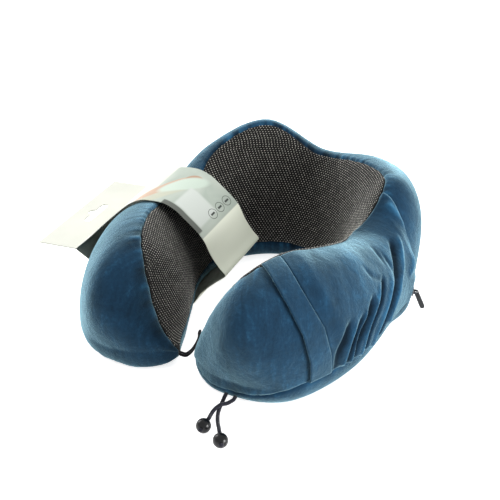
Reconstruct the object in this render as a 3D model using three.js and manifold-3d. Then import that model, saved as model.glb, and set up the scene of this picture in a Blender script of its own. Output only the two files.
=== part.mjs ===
import * as THREE from 'three';
import { mergeVertices } from 'three/addons/utils/BufferGeometryUtils.js';
import Module from 'manifold-3d';

const wasm = await Module();
wasm.setup();

// U shaped memory foam neck pillow, lying on its flat base.
// Millimetres, +Z up, the mouth of the U towards -Y, the wearer's left on -X.
// The origin is on the flat base under the back of the neck, on the plane of symmetry.

// Driving sizes of the pillow body
const neckRadius = 60;
const neckSeamHeight = 17;
const topSeamRadius = 98;
const crestHeight = 118;
const flankRadius = 139;
const zipRadius = 127.5;
const zipHeight = 20;
const armStretchShare = 1.44;
const tipRadius = 93;
const tipHeight = 14;
const tipTurn = 175;
const noseTurn = 160;
const originRadius = 94;

// Driving sizes of the cloth
const coverThickness = 2.4;
const meshThickness = 2.8;
const baseThickness = 2.4;
const clothGap = 0.4;
const seamGap = 0.4;
const seamDip = 1;
const mergeDistance = 0.001;

// Driving sizes of the side pocket
const pocketThickness = 1.6;
const hemThickness = 2.4;
const foldRise = 1.8;
const foldCount = 5;
const pocketGap = 0.85;

// Driving sizes of the zip
const zipStartTurn = 77;
const zipEndTurn = -72;
const sliderTurn = 74.3;
const tapeThickness = 0.6;
const tapeWidth = 3;
const coilHeight = 1.5;
const coilDepth = 1.2;
const coilPitch = 3.6;
const webThickness = 0.6;
const runGap = 0.3;
const tapeInset = 2;
const stopLength = 2;
const zipTaperTurn = 7;

// Driving sizes of the slider and its pull
const sliderLength = 9;
const plateThickness = 1;
const backPlateThickness = 0.8;
const flangeThickness = 0.7;
const crownLength = 6;
const crownBar = 0.9;
const crownWidth = 1.3;
const crownLeg = 0.8;
const eyeRadius = 1.15;
const eyeRim = 0.85;
const pullThickness = 1.4;
const pullWidth = 4.2;
const pullLength = 17;
const pullLean = 24;
const join = 0.05;

// Driving sizes of the cords and beads
const loopCordDiameter = 2;
const beadCordDiameter = 3.1;
const beadDiameter = 11.5;
const beadNeckLength = 2.4;
const beadNeckDiameter = 4.6;
const knotDiameter = 3.6;

// Driving sizes of the card sleeve
const cardThickness = 0.5;
const cardRelief = 1.1;
const cardTwist = 6.5;
const headerHalfWidth = 66;
const bandHalfWidth = 36;
const slotLength = 36;
const slotWidth = 7;
const slotBump = 4.5;

// Stations round the U, in degrees from the back of the neck. Where the two arms differ, the left
// arm's shares come first.
const stationTurns = [0, 30, 60, 78, 90, 115, 135, 150, 163, 175];
const neckShares = [1, 1.01, 0.995, 0.976, 0.965, 0.955, 0.967, 1.06, 1.23, 1.48];
const topSeamShares = [
  [1, 1.06, 0.985, 0.862, 0.8, 0.885, 0.94, 0.985, 1.015, 1.008],
  [1, 0.977, 1.013, 0.87, 0.785, 0.877, 0.897, 1.007, 1.05, 1.008]
];
const crestShares = [
  [0.84, 1, 0.885, 0.741, 0.685, 0.805, 0.84, 0.818, 0.423, 0.235],
  [0.84, 0.922, 0.963, 0.749, 0.685, 0.805, 0.863, 0.839, 0.578, 0.32]
];
const flankShares = [
  [0.95, 0.983, 0.973, 0.946, 0.935, 0.98, 0.974, 0.982, 0.8, 0.74],
  [0.95, 1.04, 0.958, 0.896, 0.923, 0.98, 1.002, 0.99, 0.8, 0.767]
];
const zipShares = [
  [1, 1, 1, 1, 1, 1.06, 1.118, 1.027, 0.903, 0.785],
  [1, 1, 1, 1, 0.943, 1.031, 1.082, 0.97, 0.867, 0.785]
];

// Shape of one cross section, as shares of its width and height
const shoulderShares = { out: 0.45, up: 0.08 };
const bellyShares = { bulge: 1.44, out: 0.12, up: 0.76 };
const hollowShares = { top: -0.36, dip: -0.12, out: -0.04, up: 0.44 };
const footShares = { outer: 0.18, inner: 0.2, lip: 0.06, tuck: 0.45 };
const centreShare = 0.42;

// Rows across each cloth, as shares of its length from seam to seam
const coverRowShares = [0, 0.07, 0.19, 0.32, 0.45, 0.57, 0.69, 0.8, 0.9, 0.96, 1];
const meshRowShares = [0, 0.18, 0.36, 0.54, 0.72, 0.9, 1];
const baseRowShares = [0, 0.05, 0.11, 0.19, 0.3, 0.5, 0.72, 0.84, 0.93, 1];
const noseRowShares = [0.35, 0.62, 0.82, 0.93, 0.98];
const stationStep = 8;
const stationClearShare = 0.45;
const deepestShare = 0.8;

const degree = Math.PI / 180;

function material(color, roughness, metalness = 0) {
  return new THREE.MeshStandardMaterial({ color, roughness, metalness });
}

// Smooth curve through a table of shares, with no overshoot between stations
function shareAt(table, turn) {
  const arms = Array.isArray(table[0]) ? table : [table, table];
  const shares = arms[turn < 0 ? 0 : 1];
  const last = stationTurns.length - 1;
  const clamped = Math.min(Math.abs(turn), stationTurns[last]);
  let k = 0;
  while (k < last - 1 && clamped > stationTurns[k + 1]) k += 1;
  const rise = (i) => (shares[i + 1] - shares[i]) / (stationTurns[i + 1] - stationTurns[i]);
  const slope = (i) => {
    if (i === 0) return 0;
    if (i === last) return rise(last - 1);
    const before = rise(i - 1);
    const after = rise(i);
    return before * after <= 0 ? 0 : (2 * before * after) / (before + after);
  };
  const span = stationTurns[k + 1] - stationTurns[k];
  const t = (clamped - stationTurns[k]) / span;
  const start = shares[k] * (1 + 2 * t) * (1 - t) ** 2 + slope(k) * span * t * (1 - t) ** 2;
  return start + shares[k + 1] * t * t * (3 - 2 * t) - slope(k + 1) * span * t * t * (1 - t);
}

// The three seams of one cross section, and the three curves that run round it from seam to seam
const sections = new Map();
function sectionAt(turn) {
  if (sections.has(turn)) return sections.get(turn);
  const seam = new THREE.Vector2(
    topSeamRadius * shareAt(topSeamShares, turn),
    crestHeight * shareAt(crestShares, turn)
  );
  const zip = new THREE.Vector2(zipRadius * shareAt(zipShares, turn), zipHeight);
  const neck = new THREE.Vector2(neckRadius * shareAt(neckShares, turn), neckSeamHeight);
  const flank = flankRadius * shareAt(flankShares, turn);
  const width = flank - seam.x;
  const height = seam.y - zip.y;
  const inner = seam.x - neck.x;
  const foot = zip.x - neck.x;
  const side = new THREE.CubicBezierCurve(
    seam,
    new THREE.Vector2(seam.x + shoulderShares.out * width, seam.y + shoulderShares.up * height),
    new THREE.Vector2(
      zip.x + bellyShares.bulge * (flank - zip.x) + bellyShares.out * width,
      zip.y + bellyShares.up * height
    ),
    zip
  );
  const lining = new THREE.CubicBezierCurve(
    neck,
    new THREE.Vector2(neck.x + hollowShares.out * width, neck.y + hollowShares.up * height),
    new THREE.Vector2(seam.x + hollowShares.top * inner, seam.y + hollowShares.dip * height),
    seam
  );
  const heel = new THREE.Vector2(zip.x - footShares.outer * foot, 0);
  const toe = new THREE.Vector2(neck.x + footShares.inner * foot, 0);
  const base = new THREE.CurvePath();
  base.add(new THREE.CubicBezierCurve(
    zip,
    new THREE.Vector2(zip.x, zip.y * footShares.tuck),
    new THREE.Vector2(zip.x - footShares.lip * foot, 0),
    heel
  ));
  base.add(new THREE.LineCurve(heel, toe));
  base.add(new THREE.CubicBezierCurve(
    toe,
    new THREE.Vector2(neck.x + footShares.lip * foot, 0),
    new THREE.Vector2(neck.x, neck.y * footShares.tuck),
    neck
  ));
  const centre = new THREE.Vector2((neck.x + flank) / 2, seam.y * centreShare);
  const section = { side, lining, base, centre };
  sections.set(turn, section);
  return section;
}

// How far the body still stands open at a turn: 1 along the arms, 0 at the rounded tip
function openAt(turn, depth) {
  const end = endTurn(depth);
  const past = (Math.abs(turn) - noseTurn) / (end - noseTurn);
  return past <= 0 ? 1 : Math.sqrt(Math.max(0, 1 - past * past));
}

function endTurn(depth) {
  return tipTurn - depth / (tipRadius * degree);
}

// The base is lifted a little where the card sleeve runs under the left arm
const reliefFrom = -132;
const reliefTo = -66;
const reliefFade = 10;
function reliefAt(turn, height) {
  const outside = Math.max(reliefFrom - turn, turn - reliefTo, 0);
  return cardRelief * Math.max(0, 1 - outside / reliefFade) * Math.max(0, 1 - height / zipHeight);
}

// A point of the body's skin, at a depth below it, on one of the three curves
function skinPoint(turn, curveName, share, depth) {
  const section = sectionAt(turn);
  const point = section[curveName].getPointAt(share);
  const away = point.distanceTo(section.centre);
  point.lerp(section.centre, Math.min(depth / away, deepestShare));
  const open = openAt(turn, depth);
  const radius = tipRadius + (point.x - tipRadius) * open;
  const height = tipHeight + (point.y - tipHeight) * open;
  const angle = turn * degree;
  const stretch = Math.cos(angle) < 0 ? armStretchShare : 1;
  return new THREE.Vector3(
    radius * Math.sin(angle),
    radius * Math.cos(angle) * stretch,
    height + reliefAt(turn, height)
  );
}

// Turns at which the cloth has a cross section, with one at each end of the zip
const zipMargin = 1.5;
function bodyTurns() {
  const special = [
    zipStartTurn + zipMargin,
    zipStartTurn + zipMargin + zipTaperTurn,
    zipEndTurn - zipMargin,
    zipEndTurn - zipMargin - zipTaperTurn
  ];
  const turns = [...special];
  for (let turn = -noseTurn; turn <= noseTurn; turn += stationStep) {
    if (special.every((other) => Math.abs(other - turn) > stationStep * stationClearShare)) turns.push(turn);
  }
  return turns.sort((a, b) => a - b);
}
const mainTurns = bodyTurns();

function turnsAt(depth, rows = noseRowShares) {
  const end = endTurn(depth);
  const nose = rows.map((share) => noseTurn + (end - noseTurn) * share);
  return [...nose.map((turn) => -turn).reverse(), ...mainTurns, ...nose];
}

// Half the height of the gap in the side seam: a closed seam, or the opening for the zip
const zipHalfOpening = webThickness / 2 + runGap + tapeWidth + seamGap;
function sideSeamHalf(turn) {
  const past = Math.max(turn - zipStartTurn, zipEndTurn - turn) - zipMargin;
  const closed = Math.min(1, Math.max(0, past / zipTaperTurn));
  return zipHalfOpening + (seamGap / 2 - zipHalfOpening) * closed;
}

// The base's cloth is cut back a little more below the zip, because its edge leans towards it
function baseSeamHalf(turn) {
  const half = sideSeamHalf(turn);
  return half + baseThickness * (half - seamGap / 2) / (zipHalfOpening - seamGap / 2);
}

// A closed geometry from points and faces, with equal points merged and empty faces dropped
function closedGeometry(points, faces) {
  const loose = new THREE.BufferGeometry();
  const numbers = points.flatMap((p) => [p.x, p.y, p.z]);
  loose.setAttribute('position', new THREE.Float32BufferAttribute(numbers, 3));
  loose.setIndex(faces.flat());
  const merged = mergeVertices(loose, mergeDistance);
  const index = merged.index.array;
  const kept = [];
  for (let i = 0; i < index.length; i += 3) {
    const [a, b, c] = [index[i], index[i + 1], index[i + 2]];
    if (a !== b && b !== c && c !== a) kept.push(a, b, c);
  }
  merged.setIndex(kept);
  merged.computeVertexNormals();
  return merged;
}

// A sheet between an upper and a lower grid of points, closed along its four edges
function sheetGeometry(upper, lower) {
  const columns = upper.length;
  const rows = upper[0].length;
  const points = [...upper.flat(), ...lower.flat()];
  const top = (i, j) => i * rows + j;
  const bottom = (i, j) => (columns + i) * rows + j;
  const faces = [];
  const quad = (a, b, c, d) => faces.push([a, b, c], [a, c, d]);
  for (let i = 0; i < columns - 1; i += 1) {
    for (let j = 0; j < rows - 1; j += 1) {
      quad(top(i, j), top(i, j + 1), top(i + 1, j + 1), top(i + 1, j));
      quad(bottom(i, j), bottom(i + 1, j), bottom(i + 1, j + 1), bottom(i, j + 1));
    }
    quad(top(i, 0), top(i + 1, 0), bottom(i + 1, 0), bottom(i, 0));
    quad(top(i, rows - 1), bottom(i, rows - 1), bottom(i + 1, rows - 1), top(i + 1, rows - 1));
  }
  for (let j = 0; j < rows - 1; j += 1) {
    quad(top(0, j), bottom(0, j), bottom(0, j + 1), top(0, j + 1));
    quad(top(columns - 1, j), top(columns - 1, j + 1), bottom(columns - 1, j + 1), bottom(columns - 1, j));
  }
  return closedGeometry(points, faces);
}

// A solid between rings of points, closed by a point at each end
function ringedGeometry(rings, start, end) {
  const count = rings[0].length;
  const points = [...rings.flat(), start, end];
  const faces = [];
  const at = (i, j) => i * count + (j % count);
  const first = rings.length * count;
  for (let i = 0; i < rings.length - 1; i += 1) {
    for (let j = 0; j < count; j += 1) {
      faces.push([at(i, j), at(i, j + 1), at(i + 1, j)], [at(i, j + 1), at(i + 1, j + 1), at(i + 1, j)]);
    }
  }
  const last = rings.length - 1;
  for (let j = 0; j < count; j += 1) {
    faces.push([first, at(0, j + 1), at(0, j)], [first + 1, at(last, j), at(last, j + 1)]);
  }
  return closedGeometry(points, faces);
}

// Where each row of a cloth lies on its curve: the curve's two ends less the half gaps at the seams
const plainSeam = () => seamGap / 2;
const seamGaps = {
  side: [plainSeam, sideSeamHalf],
  lining: [plainSeam, plainSeam],
  base: [baseSeamHalf, plainSeam]
};
function rowPlace(turn, curveName, share) {
  const length = sectionAt(turn)[curveName].getLength();
  const [startGap, endGap] = seamGaps[curveName];
  const from = startGap(turn) / length;
  const to = 1 - endGap(turn) / length;
  return from + (to - from) * share;
}

// One cloth of the cover, from seam to seam and from tip to tip
function clothGeometry(curveName, rowShares, thickness) {
  const grid = (depth, dips) => turnsAt(depth).map((turn) => rowShares.map((share, row) => {
    const edge = row === 0 || row === rowShares.length - 1;
    return skinPoint(turn, curveName, rowPlace(turn, curveName, share), depth + (edge ? dips : 0));
  }));
  return sheetGeometry(grid(thickness, 0), grid(0, seamDip));
}

function coverPanel() {
  return new THREE.Mesh(
    clothGeometry('side', coverRowShares, coverThickness),
    material(0x2f6a94, 0.85)
  );
}

function meshPanel() {
  return new THREE.Mesh(
    clothGeometry('lining', meshRowShares, meshThickness),
    material(0x1b1b1c, 0.8)
  );
}

function basePanel() {
  return new THREE.Mesh(
    clothGeometry('base', baseRowShares, baseThickness),
    material(0x2a618a, 0.85)
  );
}

// The foam fills the cover, with a shallow rebate behind the zip for the slider's back plate
const rebateDepth = 3.4;
const rebateHeight = 14;
function foamCore() {
  const depths = { side: coverThickness, base: baseThickness, lining: meshThickness };
  const deepest = Math.max(...Object.values(depths)) + clothGap;
  const ringPoint = (turn, curveName, share) => {
    const section = sectionAt(turn);
    const place = rowPlace(turn, curveName, share);
    const fromZip = section[curveName].getPointAt(place).distanceTo(section.side.v3);
    const rebate = curveName === 'lining' ? 0 : rebateDepth * Math.max(0, 1 - (fromZip / rebateHeight) ** 2);
    return skinPoint(turn, curveName, place, deepest + rebate);
  };
  const rings = turnsAt(deepest).map((turn) => [
    ...coverRowShares.map((share) => ringPoint(turn, 'side', share)),
    ...baseRowShares.map((share) => ringPoint(turn, 'base', share)),
    ...meshRowShares.map((share) => ringPoint(turn, 'lining', share))
  ]);
  const tip = (side) => skinPoint(side * endTurn(deepest), 'side', 0, deepest);
  return new THREE.Mesh(ringedGeometry(rings.reverse(), tip(1), tip(-1)), material(0xd9d2bd, 0.95));
}

// Edges of the side pocket on the right arm, in degrees, at rows down the side
const pocketRowShares = [0, 0.2, 0.4, 0.6, 0.8, 1];
const pocketRearTurns = [67, 71.2, 74.1, 76.2, 76.8, 80.3];
const pocketStitchTurns = [137.6, 133.5, 129.5, 125.5, 123.7, 123];
const pocketHemTurns = [145.2, 140.5, 135.9, 132.2, 130.3, 129.9];
const hemGapTurn = 0.25;
const pocketStepShare = 0.34;
const hemStepShare = 0.5;
const gatherShares = { span: 0.7, from: 0.15, rows: 0.75 };

function alongRows(values, share) {
  const place = share * (pocketRowShares.length - 1);
  const k = Math.min(Math.floor(place), pocketRowShares.length - 2);
  return values[k] + (values[k + 1] - values[k]) * (place - k);
}

// A point over the cover's own facets, so that what lies on the cover follows it closely
function overCover(turn, share, height) {
  const k = mainTurns.findIndex((station) => station > turn) - 1;
  const before = mainTurns[k];
  const after = mainTurns[k + 1];
  const pointAt = (station) => skinPoint(station, 'side', rowPlace(station, 'side', share), -height);
  return pointAt(before).lerp(pointAt(after), (turn - before) / (after - before));
}

function pocketSheet(rearTurns, frontTurns, thickness, rise, step) {
  const low = Math.min(...rearTurns);
  const high = Math.max(...frontTurns);
  const columns = [low];
  for (const station of mainTurns) {
    for (let part = 0; part < 1; part += step) {
      const next = mainTurns[mainTurns.indexOf(station) + 1];
      const turn = station + ((next ?? station) - station) * part;
      if (turn > low && turn < high) columns.push(turn);
    }
  }
  columns.push(high);
  const rows = coverRowShares.slice(1, -1);
  const grid = (height, lift) => columns.map((column) => rows.map((share) => {
    const rear = alongRows(rearTurns, share);
    const front = alongRows(frontTurns, share);
    const turn = Math.min(front, Math.max(rear, column));
    return overCover(turn, share, height + lift(turn, rear, front, share));
  }));
  return sheetGeometry(grid(pocketGap, () => 0), grid(pocketGap + thickness, rise));
}

// Gathers run down the rear half of the pocket and die out towards its edges
function gather(turn, rear, front, share) {
  const along = Math.min(1, (turn - rear) / (front - rear) / gatherShares.span);
  const down = gatherShares.from + gatherShares.rows * share;
  const fade = Math.sin(Math.PI * along) * Math.sin(Math.PI * down);
  return foldRise * Math.max(0, fade) * (1 - Math.cos(2 * Math.PI * foldCount * along)) / 2;
}

function pocketPanel() {
  return new THREE.Mesh(
    pocketSheet(pocketRearTurns, pocketStitchTurns, pocketThickness, gather, pocketStepShare),
    material(0x2c6690, 0.85)
  );
}

function pocketHem() {
  const rear = pocketStitchTurns.map((turn) => turn + hemGapTurn);
  return new THREE.Mesh(
    pocketSheet(rear, pocketHemTurns, hemThickness, () => 0, hemStepShare),
    material(0x316d97, 0.85)
  );
}

// Radii of the zip, worked out from the seam that it closes
const tapeInner = zipRadius - tapeInset;
const tapeOuter = tapeInner + tapeThickness;
const coilInner = tapeOuter + runGap;
const coilOuter = coilInner + coilDepth;
const rowEdge = webThickness / 2 + runGap;

// A band along the zip's arc between two turns, its outer face set by a function of the step
function arcBand(fromTurn, toTurn, inner, outerAt, low, high, steps) {
  const rings = [];
  for (let step = 0; step <= steps; step += 1) {
    const angle = (fromTurn + (toTurn - fromTurn) * step / steps) * degree;
    const [across, back] = [Math.sin(angle), Math.cos(angle)];
    const place = (radius, height) => new THREE.Vector3(radius * across, radius * back, height);
    const outer = outerAt(step);
    rings.push([place(inner, low), place(outer, low), place(outer, high), place(inner, high)]);
  }
  const middle = (corners) => {
    const sum = corners.reduce((total, corner) => total.add(corner), new THREE.Vector3());
    return sum.divideScalar(corners.length);
  };
  return ringedGeometry(rings, middle(rings[0]), middle(rings[rings.length - 1]));
}

const tapeSteps = 40;
function zipTape(side) {
  const near = zipHeight + side * rowEdge;
  const far = zipHeight + side * (rowEdge + tapeWidth);
  const ends = [zipEndTurn - zipMargin, zipStartTurn + zipMargin];
  const [low, high] = [Math.min(near, far), Math.max(near, far)];
  return new THREE.Mesh(
    arcBand(ends[0], ends[1], tapeInner, () => tapeOuter, low, high, tapeSteps),
    material(0x1d2f45, 0.8)
  );
}

function zipCoil(side) {
  const near = zipHeight + side * rowEdge;
  const far = zipHeight + side * (rowEdge + coilHeight);
  const length = (zipStartTurn - zipEndTurn) * degree * coilOuter;
  const ribs = Math.round(length / coilPitch);
  const outerAt = (step) => coilOuter - (step % 2 === 0 ? coilDepth / 2 : 0);
  const [low, high] = [Math.min(near, far), Math.max(near, far)];
  return new THREE.Mesh(
    arcBand(zipEndTurn, zipStartTurn, coilInner, outerAt, low, high, 2 * ribs),
    material(0x18222f, 0.55)
  );
}

function zipStop(turn) {
  const half = stopLength / 2 / (coilOuter * degree);
  const reach = rowEdge + coilHeight;
  const away = turn + Math.sign(turn) * (half + runGap / (coilOuter * degree));
  const [low, high] = [zipHeight - reach, zipHeight + reach];
  return new THREE.Mesh(
    arcBand(away - half, away + half, coilInner, () => coilOuter + runGap, low, high, 2),
    material(0x202326, 0.4, 0.6)
  );
}

// Solids for joining and cutting
function toManifold(geometry) {
  const bare = geometry.clone();
  bare.deleteAttribute('normal');
  bare.deleteAttribute('uv');
  const merged = mergeVertices(bare);
  const vertProperties = Float32Array.from(merged.attributes.position.array);
  const triVerts = Uint32Array.from(merged.index.array);
  return new wasm.Manifold(new wasm.Mesh({ numProp: 3, vertProperties, triVerts }));
}

function fromManifold(solid) {
  const mesh = solid.getMesh();
  const geometry = new THREE.BufferGeometry();
  geometry.setAttribute('position', new THREE.Float32BufferAttribute(mesh.vertProperties, 3));
  geometry.setIndex([...mesh.triVerts]);
  geometry.computeVertexNormals();
  return geometry;
}

function block(x, y, z, atX, atY, atZ) {
  return toManifold(new THREE.BoxGeometry(x, y, z).translate(atX, atY, atZ));
}

// Slider, made where local x runs along the zip, y points out of the pillow and z is up
const frontPlateInner = coilOuter + runGap;
const frontPlateOuter = frontPlateInner + plateThickness;
const backPlateOuter = tapeInner - runGap;
const flangeInner = tapeOuter + runGap;
const flangeReach = rowEdge + coilHeight + runGap;
const barCentre = frontPlateOuter + runGap + eyeRadius + eyeRim;
const plateShares = [[-1, 0.66], [-0.7, 0.82], [0.45, 1], [0.85, 0.8], [1, 0.4]];
const webShares = { length: 0.3, along: 0.28 };
const flangeShares = { length: 0.5, along: -0.05 };

// Plate outline, from shares of its half length and half width on each side of its middle line
function plateOutline() {
  const half = sliderLength / 2;
  const wide = flangeReach + flangeThickness;
  const lower = plateShares.map(([along, across]) => new THREE.Vector2(half * along, -wide * across));
  const upper = plateShares.map(([along, across]) => new THREE.Vector2(half * along, wide * across));
  return new THREE.Shape([...lower, ...upper.reverse()]);
}

function sliderPlate(inner, outer) {
  const geometry = new THREE.ExtrudeGeometry(plateOutline(), { depth: outer - inner, bevelEnabled: false });
  return toManifold(geometry.rotateX(Math.PI / 2).translate(0, outer, 0));
}

function sliderBody() {
  const webLength = sliderLength * webShares.length;
  const webDepth = frontPlateInner - backPlateOuter + 2 * join;
  const webMiddle = (frontPlateInner + backPlateOuter) / 2;
  const flangeDepth = frontPlateInner - flangeInner + join;
  const flangeMiddle = flangeInner + flangeDepth / 2;
  const flangeLength = sliderLength * flangeShares.length;
  const flangePlace = sliderLength * flangeShares.along;
  const crownTop = barCentre + crownBar / 2;
  const legDepth = crownTop - frontPlateOuter + join;
  const legPlace = crownLength / 2 - crownLeg / 2;
  let solid = sliderPlate(frontPlateInner, frontPlateOuter)
    .add(sliderPlate(backPlateOuter - backPlateThickness, backPlateOuter))
    .add(block(webLength, webDepth, webThickness, sliderLength * webShares.along, webMiddle, 0))
    .add(block(crownLength, crownBar, crownWidth, 0, barCentre, 0));
  for (const side of [-1, 1]) {
    const flangeHeight = side * (flangeReach + flangeThickness / 2);
    solid = solid
      .add(block(flangeLength, flangeDepth, flangeThickness, flangePlace, flangeMiddle, flangeHeight))
      .add(block(crownLeg, legDepth, crownWidth, side * legPlace, crownTop - legDepth / 2, 0));
  }
  return new THREE.Mesh(fromManifold(solid), material(0x23262a, 0.35, 0.7));
}

// Teardrop pull, hung by its eye on the slider's crown
const pullWaistShares = { eye: 1.6, body: 0.45 };
const curveSegments = 6;
function zipPull() {
  const rim = eyeRadius + eyeRim;
  const half = pullWidth / 2;
  const waist = new THREE.Vector2(-pullLength * pullWaistShares.body, -rim * pullWaistShares.eye);
  const shape = new THREE.Shape();
  shape.moveTo(0, rim);
  shape.quadraticCurveTo(rim, rim, rim, 0);
  shape.bezierCurveTo(rim, waist.y, half, waist.x, half, -(pullLength - half));
  shape.absarc(0, -(pullLength - half), half, 0, -Math.PI, true);
  shape.bezierCurveTo(-half, waist.x, -rim, waist.y, -rim, 0);
  shape.quadraticCurveTo(-rim, rim, 0, rim);
  const eye = new THREE.Path();
  eye.absarc(0, 0, eyeRadius, 0, 2 * Math.PI, false);
  shape.holes.push(eye);
  const settings = { depth: pullThickness, bevelEnabled: false, curveSegments };
  const geometry = new THREE.ExtrudeGeometry(shape, settings);
  geometry.translate(0, 0, -pullThickness / 2).rotateY(Math.PI / 2).rotateX(Math.PI / 2);
  return new THREE.Mesh(geometry, material(0x17181a, 0.45, 0.1));
}

// A cord along a hand-chosen route, straight for its first and last stretch
const cordSides = 8;
const loopSteps = 40;
const beadCordSteps = 18;
function cordGeometry(points, diameter, steps) {
  const path = new THREE.CurvePath();
  const places = points.map((p) => new THREE.Vector3(...p));
  const inner = places.slice(1, -1);
  path.add(new THREE.LineCurve3(places[0], places[1]));
  if (inner.length > 1) path.add(new THREE.CatmullRomCurve3(inner, false, 'centripetal'));
  path.add(new THREE.LineCurve3(places[places.length - 2], places[places.length - 1]));
  const ring = new THREE.Shape();
  ring.absarc(0, 0, diameter / 2, 0, 2 * Math.PI, false);
  const settings = { extrudePath: path, steps, curveSegments: cordSides / 2, bevelEnabled: false };
  return new THREE.ExtrudeGeometry(ring, settings);
}

// Loop of elastic cord from the tip of the left arm, both ends sewn into the tip
const loopRoute = [
  [-8.1, -134, 15.2], [-6, -134.3, 14.8], [-2.6, -132.6, 13.8], [-1.6, -127, 13.5], [-2.4, -119, 13.9],
  [-4.4, -111, 14.6], [-6.4, -105, 15.8], [-8.6, -101.6, 15.6], [-9.6, -101.8, 13.6], [-8, -104.8, 12],
  [-5.4, -110.6, 11.7], [-3, -119, 11.2], [-2, -127, 10.8], [-2.8, -132.4, 11.2], [-6, -134.3, 12.2],
  [-8.1, -134, 12.6]
];

// The two cords that end in beads, lying on the table in front of the right arm
const beadCordRoutes = [
  [
    [47.3, -151.4, 5.8], [47.3, -154.6, 4.3], [47.9, -159.2, 2.3], [49.6, -166, 1.7], [52.4, -173, 1.7],
    [57.5, -181.5, 2.4], [62.4, -188, 4], [66, -192.8, 5.1], [68.1, -195.7, 5.4]
  ],
  [
    [55.2, -151.3, 5.3], [55.1, -154.4, 3.8], [53.2, -160.6, 4], [50.6, -165.6, 5.1], [48.8, -172, 4.2],
    [49.4, -178, 3.9], [51.2, -183.5, 5], [51.8, -186.7, 5.4]
  ]
];

function loopCord() {
  return new THREE.Mesh(cordGeometry(loopRoute, loopCordDiameter, loopSteps), material(0x15161c, 0.8));
}

function beadCord(route) {
  return new THREE.Mesh(cordGeometry(route, beadCordDiameter, beadCordSteps), material(0x1a1b2c, 0.8));
}

// A bead with a short flared neck where the cord goes in, its axis along +Z
const beadRings = 10;
const beadSides = 16;
const beadFlareShare = 0.86;
function beadGeometry() {
  const radius = beadDiameter / 2;
  const neck = beadNeckDiameter / 2;
  const start = Math.asin(neck / radius);
  const profile = [new THREE.Vector2(0, -radius)];
  for (let ring = 1; ring < beadRings; ring += 1) {
    const angle = Math.PI - (Math.PI - start) * ring / beadRings;
    profile.push(new THREE.Vector2(radius * Math.sin(angle), radius * Math.cos(angle)));
  }
  const shoulder = radius * Math.cos(start);
  profile.push(new THREE.Vector2(neck, shoulder));
  profile.push(new THREE.Vector2(neck * beadFlareShare, shoulder + beadNeckLength));
  profile.push(new THREE.Vector2(0, shoulder + beadNeckLength));
  return new THREE.LatheGeometry(profile, beadSides).rotateX(Math.PI / 2);
}

const beadTop = Math.sqrt((beadDiameter / 2) ** 2 - (beadNeckDiameter / 2) ** 2) + beadNeckLength;

function aimed(mesh, place, direction) {
  mesh.position.copy(place);
  mesh.quaternion.setFromUnitVectors(new THREE.Vector3(0, 0, 1), direction);
  return mesh;
}

// Bead and knot beyond the last point of a cord, in line with its last stretch
function beadOn(route) {
  const last = new THREE.Vector3(...route[route.length - 1]);
  const before = new THREE.Vector3(...route[route.length - 2]);
  const along = last.clone().sub(before).normalize();
  const centre = last.clone().addScaledVector(along, runGap + beadTop);
  const bead = new THREE.Mesh(beadGeometry(), material(0x0d0e0f, 0.12));
  const knotPlace = centre.clone().addScaledVector(along, beadDiameter / 2 + runGap);
  const knot = new THREE.Mesh(knotGeometry(), material(0x1a1b2c, 0.8));
  return [aimed(bead, centre, along.clone().negate()), aimed(knot, knotPlace, along)];
}

const knotRings = 5;
const knotSides = 10;
const knotHeightShare = 0.8;
function knotGeometry() {
  const radius = knotDiameter / 2;
  const height = radius * knotHeightShare;
  const profile = [new THREE.Vector2(0, 0)];
  for (let ring = 0; ring < knotRings; ring += 1) {
    const angle = Math.PI / 2 * ring / knotRings;
    profile.push(new THREE.Vector2(radius * Math.cos(angle), height * Math.sin(angle)));
  }
  profile.push(new THREE.Vector2(0, height));
  return new THREE.LatheGeometry(profile, knotSides).rotateX(Math.PI / 2);
}

// Card sleeve: one folded sheet, from the header over the left arm, round and back to the header.
// Each place has its share of the way from the arm's middle out to the flank (negative inwards), its
// height as a share of the pillow's crest, and its share of the header's extra width. The card turns
// about its own centre.
const cardCentre = { radius: 100, along: -23.5 };
const armMiddleShare = 0.7194;
const cardRouteShares = [
  [2.2, 0.44, 1], [1.22, 0.455, 1], [1.17, 0.47, 0.97], [0.97, 0.53, 0.75], [0.74, 0.612, 0.5],
  [0.474, 0.7, 0.25], [0.2, 0.777, 0.08], [-0.05, 0.816, 0], [-0.31, 0.83, 0], [-0.64, 0.828, 0],
  [-0.92, 0.79, 0], [-1.13, 0.735, 0], [-1.38, 0.665, 0], [-1.58, 0.594, 0], [-1.75, 0.48, 0],
  [-1.95, 0.385, 0], [-2.08, 0.341, 0], [-2.09, 0.329, 0], [-2.05, 0.314, 0], [-1.84, 0.254, 0],
  [-1.6, 0.178, 0], [-1.44, 0.118, 0], [-1.35, 0.066, 0], [-1.26, 0.024, 0], [-1.12, 0.003, 0],
  [-1.03, 0, 0], [0.36, 0, 0], [0.6, 0.005, 0], [0.77, 0.026, 0.02], [0.88, 0.068, 0.1],
  [0.93, 0.135, 0.25], [0.96, 0.237, 0.45], [1.03, 0.34, 0.75], [1.2, 0.415, 0.98], [1.23, 0.428, 1],
  [2.2, 0.424, 1]
];

function cardPlaces() {
  const middle = flankRadius * armMiddleShare;
  return cardRouteShares.map(([out, up]) => new THREE.Vector2(
    cardCentre.radius - middle - (flankRadius - middle) * out,
    cardThickness / 2 + crestHeight * up
  ));
}

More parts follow.
